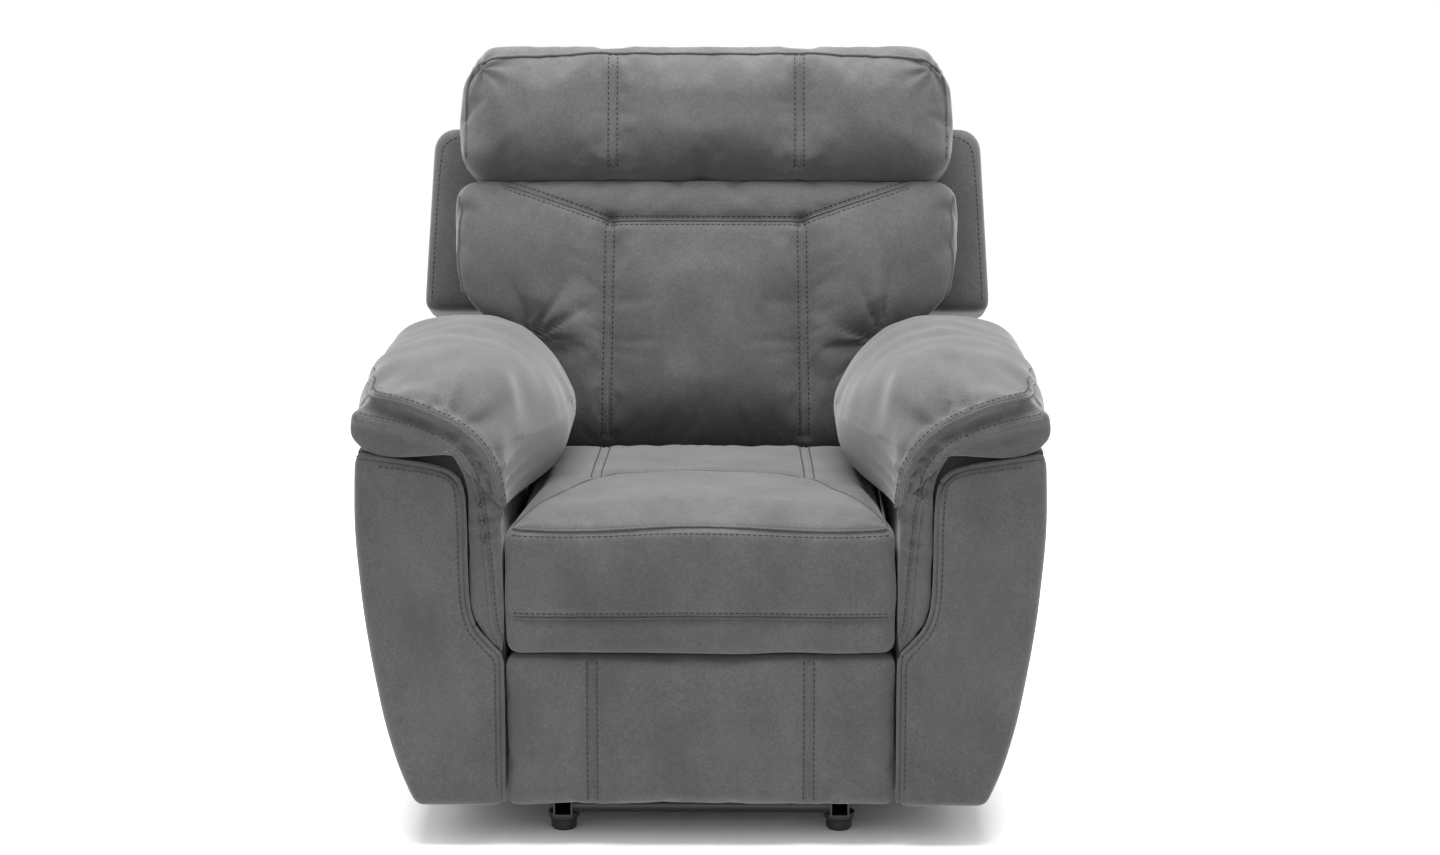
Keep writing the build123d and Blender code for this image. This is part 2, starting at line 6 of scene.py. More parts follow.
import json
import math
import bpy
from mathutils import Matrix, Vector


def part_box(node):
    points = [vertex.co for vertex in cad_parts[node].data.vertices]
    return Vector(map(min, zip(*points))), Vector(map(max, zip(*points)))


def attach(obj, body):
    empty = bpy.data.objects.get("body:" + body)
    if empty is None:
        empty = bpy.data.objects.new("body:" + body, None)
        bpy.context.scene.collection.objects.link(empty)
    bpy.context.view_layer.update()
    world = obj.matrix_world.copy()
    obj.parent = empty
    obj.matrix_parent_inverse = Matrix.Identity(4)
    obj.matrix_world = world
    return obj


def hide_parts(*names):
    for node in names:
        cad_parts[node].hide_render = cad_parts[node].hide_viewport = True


bl_info = {
    "name": "Recliner armchair looks",
    "version": (1, 0, 0),
    "blender": (4, 5, 0),
    "location": "View3D > Sidebar > Recliner",
    "description": "Builds the upholstery, stitching and finishes of a recliner armchair",
    "category": "Add Mesh",
}

import bpy
import numpy as np
from bpy.props import FloatProperty, FloatVectorProperty, IntProperty, PointerProperty
from mathutils import Vector
from mathutils.bvhtree import BVHTree

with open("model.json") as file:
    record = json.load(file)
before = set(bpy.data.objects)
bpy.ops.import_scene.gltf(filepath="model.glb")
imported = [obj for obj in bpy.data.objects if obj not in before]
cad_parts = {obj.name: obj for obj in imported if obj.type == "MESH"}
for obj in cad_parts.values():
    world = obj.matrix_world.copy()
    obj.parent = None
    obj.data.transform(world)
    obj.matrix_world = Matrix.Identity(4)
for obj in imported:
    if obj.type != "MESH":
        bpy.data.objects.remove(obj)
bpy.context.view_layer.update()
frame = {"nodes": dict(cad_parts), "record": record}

JOINTS = {joint["name"]: joint for joint in frame["record"]["behaviour"]["joints"]}
HINGE_Y, HINGE_Z = JOINTS["back_recline"]["pos_m"][1:]
RAKE = math.radians(16)             # lean of the backrest at rest
SEAT_LOW, SEAT_HIGH = (np.array(corner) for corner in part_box("seat_cushion"))
PAD_LOW, PAD_HIGH = (np.array(corner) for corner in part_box("footrest_pad"))
COVER_LOW, COVER_HIGH = (np.array(corner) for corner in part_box("arm_cover_right"))
PILLOW_LOW, PILLOW_HIGH = (np.array(corner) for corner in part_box("arm_pillow_right"))
INNER_X = COVER_LOW[0]              # inner side of the arms
FRONT_Y = COVER_LOW[1]
ARM_TOP = COVER_HIGH[2]


# --- sizes and colours -------------------------------------------------------------------------------

def linear(hex_colour):
    """Linear RGBA of an sRGB hex colour."""
    channels = [int(hex_colour[i:i + 2], 16) / 255 for i in (1, 3, 5)]
    return tuple(c / 12.92 if c <= 0.04045 else ((c + 0.055) / 1.055) ** 2.4 for c in channels) + (1.0,)


def colour_property(name, description, hex_colour):
    return FloatVectorProperty(name=name, description=description, subtype="COLOR", size=4, min=0, max=1,
                               default=linear(hex_colour))


class ReclinerSizes(bpy.types.PropertyGroup):
    grid: FloatProperty(name="Grid", description="Spacing of the cushions' points before subdivision",
                        default=0.0085, unit="LENGTH")
    pressure: FloatProperty(name="Filling", description="Pressure that blows the cushions up", default=4.0)
    piping: FloatProperty(name="Piping radius", description="Radius of the piping on the main edges",
                          default=0.0024, unit="LENGTH")
    stitch_pitch: FloatProperty(name="Stitch pitch", description="Distance from one stitch to the next",
                                default=0.0075, unit="LENGTH")
    seam_gap: FloatProperty(name="Row spacing", description="From the seam's middle to a row of stitches",
                            default=0.0068, unit="LENGTH")
    frames: IntProperty(name="Cloth frames", description="Frames of cloth simulation per cushion", default=18)


class ReclinerColours(bpy.types.PropertyGroup):
    suede: colour_property("Suede", "Main colour of the upholstery", "#454546")
    suede_dark: colour_property("Suede shade", "Colour where the nap lies flat", "#3a3a3b")
    thread: colour_property("Thread", "Sewing thread", "#101011")
    lining: colour_property("Lining", "Non-woven lining under the chair", "#17171a")
    steel: colour_property("Powder coat", "Black paint on the base", "#131314")
    floor: colour_property("Floor", "Studio floor", "#fbfbfb")


def sizes():
    return bpy.context.scene.recliner_sizes


def colours():
    return bpy.context.scene.recliner_colours


# --- materials ---------------------------------------------------------------------------------------

def add(tree, kind, inputs=None, links=None, **settings):
    """Adds a shader node with its settings and input values, and links (node, output) pairs to its inputs."""
    node = tree.nodes.new(kind)
    for key, value in settings.items():
        setattr(node, key, value)
    for key, value in (inputs or {}).items():
        node.inputs[key].default_value = value
    for key, (source, output) in (links or {}).items():
        tree.links.new(source.outputs[output], node.inputs[key])
    return node


def material(name, colour, roughness, metallic=0.0, **inputs):
    """A material with its Principled shader, named for what the real one is."""
    made = bpy.data.materials.new(name)
    made.use_nodes = True
    shader = made.node_tree.nodes["Principled BSDF"]
    values = {"Base Color": colour, "Roughness": roughness, "Metallic": metallic, **inputs}
    for key, value in values.items():
        shader.inputs[key].default_value = value
    return made, made.node_tree, shader


def ramp(tree, source, output, stops):
    """Colour ramp from a node's output, with (position, linear colour) stops."""
    node = add(tree, "ShaderNodeValToRGB", links={"Fac": (source, output)})
    elements = node.color_ramp.elements
    elements[0].position, elements[0].color = stops[0]
    elements[1].position, elements[1].color = stops[-1]
    for position, colour in stops[1:-1]:
        elements.new(position).color = colour
    return node


def noise(tree, millimetres, detail=3.0, roughness=0.5, stretch=None):
    """Noise whose features are about that many millimetres across, on Object coordinates."""
    where = add(tree, "ShaderNodeTexCoord")
    source, output = where, "Object"
    if stretch:
        source = add(tree, "ShaderNodeMapping", {"Scale": stretch}, {"Vector": (where, "Object")})
        output = "Vector"
    values = {"Scale": 1000 / millimetres, "Detail": detail, "Roughness": roughness}
    return add(tree, "ShaderNodeTexNoise", values, {"Vector": (source, output)})


def bump(tree, shader, source, output, millimetres, strength=1.0, below=None):
    """Bump of that height, added to the one below it."""
    node = add(tree, "ShaderNodeBump", {"Distance": millimetres / 1000, "Strength": strength},
               {"Height": (source, output)})
    if below:
        tree.links.new(below.outputs["Normal"], node.inputs["Normal"])
    tree.links.new(node.outputs["Normal"], shader.inputs["Normal"])
    return node


def grey(level):
    return (level, level, level, 1)


def multiplied(tree, first, second):
    """Product of two (node, output) colours."""
    node = add(tree, "ShaderNodeMix", {"Factor": 1.0}, data_type="RGBA", blend_type="MULTIPLY")
    tree.links.new(first[0].outputs[first[1]], node.inputs[6])
    tree.links.new(second[0].outputs[second[1]], node.inputs[7])
    return node


def suede():
    """Brushed microfibre suede: matt, its nap lying in soft cloudy patches over a leather-like grain."""
    light, dark = tuple(colours().suede), tuple(colours().suede_dark)
    values = {"Sheen Weight": 0.22, "Sheen Roughness": 0.5, "Specular IOR Level": 0.22}
    made, tree, shader = material("Brushed_microfibre_suede", light, 0.86, **values)
    clouds = noise(tree, 80, 5, 0.6, (1.0, 1.0, 0.6))
    mottle = noise(tree, 7, 4, 0.6)
    nap = noise(tree, 2.0, 2, 0.7)          # coarser than the real 0.1 mm nap, so that it shows
    cloud_colour = ramp(tree, clouds, "Fac", [(0.34, dark), (0.68, light)])
    grain = ramp(tree, mottle, "Fac", [(0.3, grey(0.90)), (0.72, grey(1.07))])
    speck = ramp(tree, nap, "Fac", [(0.3, grey(0.74)), (0.7, grey(1.2))])
    mixed = multiplied(tree, (cloud_colour, "Color"), (grain, "Color"))
    final = multiplied(tree, (mixed, 2), (speck, "Color"))
    tree.links.new(final.outputs[2], shader.inputs["Base Color"])
    soft = bump(tree, shader, clouds, "Fac", 2.2, 0.35)
    pebble = bump(tree, shader, mottle, "Fac", 0.6, 0.45, soft)
    bump(tree, shader, nap, "Fac", 0.22, 0.6, pebble)
    return made


def thread():
    """Bonded polyester thread, twisted from three plies: dark with a slight gloss."""
    made, tree, shader = material("Bonded_polyester_thread", colours().thread, 0.55)
    twist = noise(tree, 1.0, 1, 0.5, (1, 1, 3))
    bump(tree, shader, twist, "Fac", 0.2, 0.6)
    return made


def lining():
    """Spun-bonded polypropylene lining: black, matt, with a fine embossed dot grid."""
    made, tree, shader = material("Spunbond_polypropylene_lining", colours().lining, 0.95)
    where = add(tree, "ShaderNodeTexCoord")
    grid = {"Scale": 1000 / 2.4, "Randomness": 0.1}
    dots = add(tree, "ShaderNodeTexVoronoi", grid, {"Vector": (where, "Object")})
    bump(tree, shader, dots, "Distance", 0.3, 0.5)
    return made


def powder_coat():
    """Black polyester powder coat on steel tube: satin, with a faint orange peel."""
    made, tree, shader = material("Black_powder_coated_steel", colours().steel, 0.42)
    peel = noise(tree, 2.2, 2)
    bump(tree, shader, peel, "Fac", 0.08, 0.5)
    return made


def coated_steel():
    """Pressed steel with a thin dark grey electro-coat, rubbed lighter along the rolling grain."""
    made, tree, shader = material("Electro_coated_pressed_steel", linear("#3a3b3d"), 0.38, 0.6)
    rubbed = noise(tree, 30, 4, 0.6, (1, 4, 1))
    colour = ramp(tree, rubbed, "Fac", [(0.35, linear("#2d2e30")), (0.7, linear("#4a4b4e"))])
    tree.links.new(colour.outputs["Color"], shader.inputs["Base Color"])
    bump(tree, shader, noise(tree, 1.2, 2), "Fac", 0.05, 0.4)
    return made


def zinc():
    """Bright zinc plate with a clear passivate: pale metal with faint blotches."""
    made, tree, shader = material("Zinc_plated_steel", linear("#b9bcc0"), 0.32, 1.0)
    blotch = noise(tree, 5, 3)
    rough = add(tree, "ShaderNodeMapRange", {"To Min": 0.25, "To Max": 0.45}, {"Value": (blotch, "Fac")})
    tree.links.new(rough.outputs["Result"], shader.inputs["Roughness"])
    return made


def spring_wire():
    """Oil-tempered spring wire: dark blue-grey metal with a drawn finish."""
    made, tree, shader = material("Oil_tempered_spring_wire", linear("#55585c"), 0.4, 0.9)
    bump(tree, shader, noise(tree, 0.9, 1, 0.5, (1, 6, 1)), "Fac", 0.05, 0.4)
    return made


def moulded_plastic():
    """Injection-moulded polypropylene with a fine spark texture."""
    made, tree, shader = material("Black_moulded_polypropylene", linear("#1b1b1c"), 0.5)
    bump(tree, shader, noise(tree, 0.9, 2), "Fac", 0.12, 0.6)
    return made


def wood(name, pale, dark, ring_millimetres, axis_stretch):
    """Sawn wood: wavy bands along the grain with fine pores across them."""
    made, tree, shader = material(name, linear(pale), 0.72)
    where = add(tree, "ShaderNodeTexCoord")
    turned = add(tree, "ShaderNodeMapping", {"Scale": axis_stretch}, {"Vector": (where, "Object")})
    waviness = {"Scale": 300 / ring_millimetres, "Distortion": 5.0, "Detail": 3.0, "Detail Scale": 1.5}
    bands = add(tree, "ShaderNodeTexWave", waviness, {"Vector": (turned, "Vector")})
    colour = ramp(tree, bands, "Fac", [(0.2, linear(dark)), (0.8, linear(pale))])
    tree.links.new(colour.outputs["Color"], shader.inputs["Base Color"])
    bump(tree, shader, bands, "Fac", 0.25, 0.4)
    return made


MATERIALS = {}


def finish_of(key):
    """One shared material for each finish, made when it is first asked for."""
    makers = {
        "upholstery": suede,
        "thread": thread,
        "lining": lining,
        "black_steel": powder_coat,
        "mechanism_steel": coated_steel,
        "zinc_steel": zinc,
        "spring_wire": spring_wire,
        "black_plastic": moulded_plastic,
        "plywood": lambda: wood("Birch_plywood", "#c9aa7c", "#b08d5e", 14, (1, 0.25, 1)),
        "timber": lambda: wood("Sawn_eucalyptus", "#b98f66", "#946a45", 9, (1, 0.2, 0.6)),
    }
    if key not in MATERIALS:
        MATERIALS[key] = makers[key]()
    return MATERIALS[key]


# --- meshes ------------------------------------------------------------------------------------------

def place(x, y, z):
    """Points from their coordinates, any of which may be one value for all."""
    return np.stack(np.broadcast_arrays(x, y, z), axis=-1)


def make_object(name, points, faces, finish="upholstery"):
    mesh = bpy.data.meshes.new(name)
    mesh.from_pydata(np.asarray(points, float).tolist(), [], np.asarray(faces).tolist())
    mesh.polygons.foreach_set("use_smooth", np.ones(len(mesh.polygons), dtype=bool))
    mesh.update()
    made = bpy.data.objects.new(name, mesh)
    bpy.context.collection.objects.link(made)
    made.data.materials.append(finish_of(finish))
    return made


def points_of(piece):
    found = np.empty(len(piece.data.vertices) * 3)
    piece.data.vertices.foreach_get("co", found)
    return found.reshape(-1, 3)


def normals_of(piece):
    found = np.empty(len(piece.data.vertices) * 3)
    piece.data.vertices.foreach_get("normal", found)
    return found.reshape(-1, 3)


def faces_of(piece):
    found = np.empty(len(piece.data.loops), dtype=int)
    piece.data.loops.foreach_get("vertex_index", found)
    return found.reshape(-1, 4)


def move_points(piece, points):
    piece.data.vertices.foreach_set("co", np.ascontiguousarray(points, dtype=np.float32).ravel())
    piece.data.update()


def block(nx, ny, nz):
    """Skin of a cube from -1 to 1 as a lattice with nx, ny and nz cells, and its outward quads."""
    shape = np.array([nx, ny, nz]) + 1
    index = np.indices(shape).reshape(3, -1).T
    skin = ((index == 0) | (index == shape - 1)).any(axis=1)
    number = np.full(len(index), -1)
    number[skin] = np.arange(skin.sum())
    number = number.reshape(shape)
    quads = []
    for axis in range(3):
        for end in (0, -1):
            face = np.take(number, end, axis=axis)
            corners = [face[:-1, :-1], face[1:, :-1], face[1:, 1:], face[:-1, 1:]]
            quad = np.stack(corners, axis=-1).reshape(-1, 4)
            quads.append(quad[:, ::-1] if (end == 0) != (axis == 1) else quad)
    return index[skin] / (shape - 1) * 2.0 - 1.0, np.vstack(quads)


def rounded(points, half, radius):
    """Maps the cube's skin to a box of those half sizes whose edges are rolled to the radius."""
    half = np.asarray(half)
    box = points * half
    core = np.clip(box, -(half - radius), half - radius)
    out = box - core
    return core + out / np.maximum(np.linalg.norm(out, axis=1, keepdims=True), 1e-9) * radius


def cells(length, spacing=None):
    return max(4, round(length / (spacing or sizes().grid)))


def smooth(x):
    """0 below 0, 1 above 1, with an even S between."""
    x = np.clip(x, 0, 1)
    return x * x * (3 - 2 * x)


def curve_through(knots, values, at):
    """Smooth value at each place: cubic Hermite pieces through the knots that never overshoot."""
    knots, values = np.asarray(knots, float), np.asarray(values, float)
    steps = np.diff(values) / np.diff(knots)
    product, total = steps[1:] * steps[:-1], steps[1:] + steps[:-1]
    inner = np.where(product > 0, 2 * product / np.where(total == 0, 1, total), 0)
    slopes = np.concatenate([[steps[0]], inner, [steps[-1]]])
    at = np.clip(at, knots[0], knots[-1])
    i = np.clip(np.searchsorted(knots, at, side="right") - 1, 0, len(knots) - 2)
    width = knots[i + 1] - knots[i]
    t = (at - knots[i]) / width
    return ((1 + 2 * t) * (1 - t) ** 2 * values[i] + t * (1 - t) ** 2 * width * slopes[i]
            + t * t * (3 - 2 * t) * values[i + 1] + t * t * (t - 1) * width * slopes[i + 1])


def ripple(points, size, seed, waves=9):
    """Gentle seeded unevenness from -1 to 1: a sum of sine waves about that size in random directions."""
    rng = np.random.default_rng(seed)
    ways = rng.normal(size=(waves, 3))
    ways /= np.linalg.norm(ways, axis=1, keepdims=True)
    ways *= 2 * math.pi / size * rng.uniform(0.6, 1.5, (waves, 1))
    return np.sin(points @ ways.T + rng.uniform(0, 2 * math.pi, waves)).sum(axis=1) / math.sqrt(waves)


def resample(points, step, soften=2):
    """Corners cut by Chaikin's rule, then evenly spaced points along the line."""
    points = np.asarray(points, float)
    for _ in range(soften):
        before, after = points[:-1], points[1:]
        cut = np.stack([before * 0.75 + after * 0.25, before * 0.25 + after * 0.75], axis=1)
        points = np.vstack([points[:1], cut.reshape(-1, points.shape[1]), points[-1:]])
    gaps = np.linalg.norm(np.diff(points, axis=0), axis=1)
    run = np.concatenate([[0], np.cumsum(gaps)])
    at = np.linspace(0, run[-1], max(2, round(run[-1] / step)) + 1)
    return np.stack([np.interp(at, run, points[:, k]) for k in range(points.shape[1])], axis=1)


def nearest(points, line):
    """Distance of each point to a line of close points, the run along it and which point is nearest."""
    run = np.concatenate([[0], np.cumsum(np.linalg.norm(np.diff(line, axis=0), axis=1))])
    gap = np.empty(len(points))
    pick = np.empty(len(points), dtype=int)
    for start in range(0, len(points), 20000):
        part = points[start:start + 20000]
        square = ((part[:, None] - line[None]) ** 2).sum(axis=2)
        pick[start:start + 20000] = square.argmin(axis=1)
        gap[start:start + 20000] = np.sqrt(square.min(axis=1))
    return gap, run[pick], pick


def upright(points):
    """From the part's frame to the backrest's own frame, upright with its origin at the hinge."""
    y, z = points[:, 1] - HINGE_Y, points[:, 2] - HINGE_Z
    across, up = math.sin(RAKE), math.cos(RAKE)
    return place(points[:, 0], y * up - z * across, y * across + z * up)


def raked(points):
    """From the backrest's own upright frame to its leaning place."""
    points = np.asarray(points, float)
    y, z = points[:, 1], points[:, 2]
    across, up = math.sin(RAKE), math.cos(RAKE)
    return place(points[:, 0], HINGE_Y + y * up + z * across, HINGE_Z - y * across + z * up)


def keep_result(piece):
    """Applies the piece's modifiers to its mesh."""
    bpy.context.view_layer.update()
    whole = piece.evaluated_get(bpy.context.evaluated_depsgraph_get())
    mesh = bpy.data.meshes.new_from_object(whole)
    piece.modifiers.clear()
    piece.data = mesh
    mesh.polygons.foreach_set("use_smooth", np.ones(len(mesh.polygons), dtype=bool))


def subdivide(piece):
    finer = piece.modifiers.new("Smooth", "SUBSURF")
    finer.levels = finer.render_levels = 1
    keep_result(piece)


def puff(piece, held, cap, slack=0.0, strength=1.0):
    """Fills a closed skin with Cloth pressure. Held points stay, and no point moves further than the cap."""
    scene = bpy.context.scene
    start = points_of(piece)
    group = piece.vertex_groups.new(name="held")
    group.add(np.flatnonzero(held).tolist(), 1.0, "REPLACE")
    cloth = piece.modifiers.new("Filling", "CLOTH").settings
    cloth.use_pressure = True
    cloth.uniform_pressure_force = sizes().pressure * strength
    cloth.effector_weights.gravity = 0
    cloth.vertex_group_mass = "held"
    cloth.shrink_min = -slack
    cloth.bending_stiffness = 0.15
    cloth.tension_stiffness = cloth.compression_stiffness = 12
    cloth.quality = 4
    for number in range(1, sizes().frames + 1):
        scene.frame_set(number)
    whole = piece.evaluated_get(bpy.context.evaluated_depsgraph_get())
    end = np.empty(len(start) * 3)
    whole.data.vertices.foreach_get("co", end)
    moved = end.reshape(-1, 3) - start
    length = np.linalg.norm(moved, axis=1, keepdims=True)
    piece.modifiers.clear()
    piece.vertex_groups.clear()
    move_points(piece, start + moved * np.minimum(1, cap / np.maximum(length, 1e-9)))
    scene.frame_set(1)


def press(piece, line, depth, width, power=2.0):
    """Draws a seam in: points near the line sink along their normals, deepest on the line."""
    points = points_of(piece)
    gap = nearest(points, line)[0]
    move_points(piece, points - normals_of(piece) * (depth * np.exp(-(gap / width) ** power))[:, None])


def cast(piece, starts, direction):
    """Where rays from the starts meet the piece, and the normals there. Rays that miss are dropped."""
    tree = BVHTree.FromPolygons(points_of(piece).tolist(), faces_of(piece).tolist())
    way = Vector(direction)
    hits = [tree.ray_cast(Vector(start), way) for start in starts]
    hits = [(spot, normal) for spot, normal, _, _ in hits if spot is not None]
    return np.array([h[0] for h in hits]), np.array([h[1] for h in hits])


def offset_line(line, across, shift):
    """The line moved sideways in its surface, at right angles to across, which points out of the surface."""
    along = np.gradient(line, axis=0)
    side = np.cross(along, across)
    return line + side / np.maximum(np.linalg.norm(side, axis=1, keepdims=True), 1e-9) * shift


def ring_quads(rows, around):
    """Quads between rows of points that close round on themselves."""
    row, column = np.meshgrid(np.arange(rows - 1), np.arange(around), indexing="ij")
    a = (row * around + column).ravel()
    b = (row * around + (column + 1) % around).ravel()
    return np.stack([a, b, b + around, a + around], axis=-1)


def sheet_quads(rows, columns):
    """Quads of an open grid of points."""
    row, column = np.meshgrid(np.arange(rows - 1), np.arange(columns - 1), indexing="ij")
    a = (row * columns + column).ravel()
    return np.stack([a, a + 1, a + columns + 1, a + columns], axis=-1)


def ring_lid(around):
    """Quads that close the first ring of a tube."""
    return np.array([[k, k + 1, around - 2 - k, around - 1 - k] for k in range(around // 2 - 1)])


def tube_arrays(path, radius, sides=8):
    """A round profile carried along a path, each ring at right angles to it, with narrow closed ends."""
    along = np.gradient(path, axis=0)
    along /= np.maximum(np.linalg.norm(along, axis=1, keepdims=True), 1e-9)
    guide = np.where(np.abs(along[:, 2:3]) < 0.9, [[0.0, 0.0, 1.0]], [[0.0, 1.0, 0.0]])
    first = np.cross(along, guide)
    first /= np.linalg.norm(first, axis=1, keepdims=True)
    second = np.cross(along, first)
    turn = np.linspace(0, 2 * math.pi, sides, endpoint=False)
    radii = np.full(len(path), radius)
    radii[[0, -1]] = radius * 0.35
    ring = first[:, None] * np.cos(turn)[None, :, None] + second[:, None] * np.sin(turn)[None, :, None]
    points = (path[:, None] + ring * radii[:, None, None]).reshape(-1, 3)
    quads, lid = ring_quads(len(path), sides)[:, ::-1], ring_lid(sides)
    return points, np.vstack([quads, lid, (lid + (len(path) - 1) * sides)[:, ::-1]])


def piping(name, path, body, radius=None):
    """Covered cord sewn along an edge."""
    points, quads = tube_arrays(np.asarray(path), radius or sizes().piping)
    return belongs(make_object(name, points, quads), body)


STITCH_RINGS = ((-0.5, 0.25), (-0.36, 0.85), (0.0, 1.0), (0.36, 0.85), (0.5, 0.25))    # place along, width
STITCH_SIDES = 6
STITCH_LENGTH, STITCH_RADIUS = 0.0052, 0.00105


def follow(run, values, at):
    """Values along a line, taken at other places along it."""
    return np.stack([np.interp(at, run, values[:, k]) for k in range(3)], axis=1)


def stitch_arrays(path, normals, pitch):
    """Separate stitches along a path: each a short spindle that lies along it, half sunk in the surface."""
    run = np.concatenate([[0], np.cumsum(np.linalg.norm(np.diff(path, axis=0), axis=1))])
    count = max(1, int(run[-1] / pitch))
    at = (np.arange(count) + 0.5) * run[-1] / count
    middle, out = follow(run, path, at), follow(run, normals, at)
    out /= np.linalg.norm(out, axis=1, keepdims=True)
    along = follow(run, path, at + 0.001) - follow(run, path, at - 0.001)
    along /= np.maximum(np.linalg.norm(along, axis=1, keepdims=True), 1e-9)
    side = np.cross(along, out)
    turn = np.linspace(0, 2 * math.pi, STITCH_SIDES, endpoint=False)
    template = np.array([(ring * STITCH_LENGTH, math.cos(t) * wide, math.sin(t) * wide)
                         for ring, half in STITCH_RINGS for t in turn for wide in [half * STITCH_RADIUS]])
    length, breadth, height = (template[None, :, k:k + 1] for k in range(3))
    points = middle[:, None] + along[:, None] * length + side[:, None] * breadth
    points = points + out[:, None] * (height + STITCH_RADIUS * 0.15)
    rings = len(STITCH_RINGS)
    low = ring_lid(STITCH_SIDES)[:, [0, 3, 2, 1]]
    high = low[:, ::-1] + (rings - 1) * STITCH_SIDES
    one = np.vstack([ring_quads(rings, STITCH_SIDES), low, high])
    quads = (one[None] + (np.arange(count) * rings * STITCH_SIDES)[:, None, None]).reshape(-1, 4)
    return points.reshape(-1, 3), quads


def join_arrays(parts):
    """Several (points, quads) pairs as one."""
    base, points, quads = 0, [], []
    for part_points, part_quads in parts:
        points.append(part_points)
        quads.append(part_quads + base)
        base += len(part_points)
    return np.vstack(points), np.vstack(quads)


def sew(name, piece, lines, body, view, rows=(-1, 1), rib=0.0013):
    """Stitches each line to the piece: rows of stitches beside it and, with a rib, a fine raised edge on it.

    lines are starting points outside the piece, and view is the direction in which they meet it.
    """
    across = -np.asarray(view, float)
    stitches, ribs = [], []
    for line in lines:
        for row in rows:
            moved = offset_line(line, across, row * sizes().seam_gap)
            path, normals = cast(piece, moved, view)
            if len(path) > 3:
                stitches.append(stitch_arrays(path, normals, sizes().stitch_pitch))
        if rib:
            path, normals = cast(piece, line, view)
            if len(path) > 3:
                ribs.append(tube_arrays(path + normals * rib * 0.2, rib, 6))
    belongs(make_object(name + "_stitches", *join_arrays(stitches), "thread"), body)
    if ribs:
        belongs(make_object(name + "_seam_edges", *join_arrays(ribs), "upholstery"), body)


def belongs(piece, body, nodes=()):
    """The piece rides on its body and stands for its CAD nodes, which it hides."""
    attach(piece, body)
    if nodes:
        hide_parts(*nodes)
    return piece


def mirror_piece(piece, name):
    """A mirrored copy across X = 0 with its faces turned back outwards."""
    return make_object(name, points_of(piece) * (-1, 1, 1), faces_of(piece)[:, ::-1])


def on_back(x, z, y=-0.4):
    """Places in front of the backrest, or behind it with another y, given in its own frame."""
    return raked(place(x, y, z))


# --- seat --------------------------------------------------------------------------------------------

SEAT_SEAM_X = 0.1435
SEAT_DROP = 0.024               # from the crown of the seat to its front edge
SEAT_RAIL_TOP = 0.302
SEAT_LOW_SEAM = 0.3135          # height of the seam round the lower border
NOSE_DEPTH = 0.052              # the part that hangs in front of the rail
TOP_VIEW, FRONT_VIEW, REAR_VIEW = (0, 0, -1), (0, 1, 0), (0, -1, 0)
VIEW_GAP = 0.1                  # a seam's starting points lie this far outside its piece
SEAM_STEP = 0.004


def within_sides(piece, low, high, spare=0.0015):
    """Points of a filled piece, held back where it bulges past the sides of its place."""
    placed = points_of(piece)
    placed[:, 0] = np.clip(placed[:, 0], low[0] - spare, high[0] + spare)
    return placed


def unevenness(piece, height, size, seed):
    """Small soft dents and swells of the filling."""
    points = points_of(piece)
    move_points(piece, points + normals_of(piece) * (height * ripple(points, size, seed))[:, None])


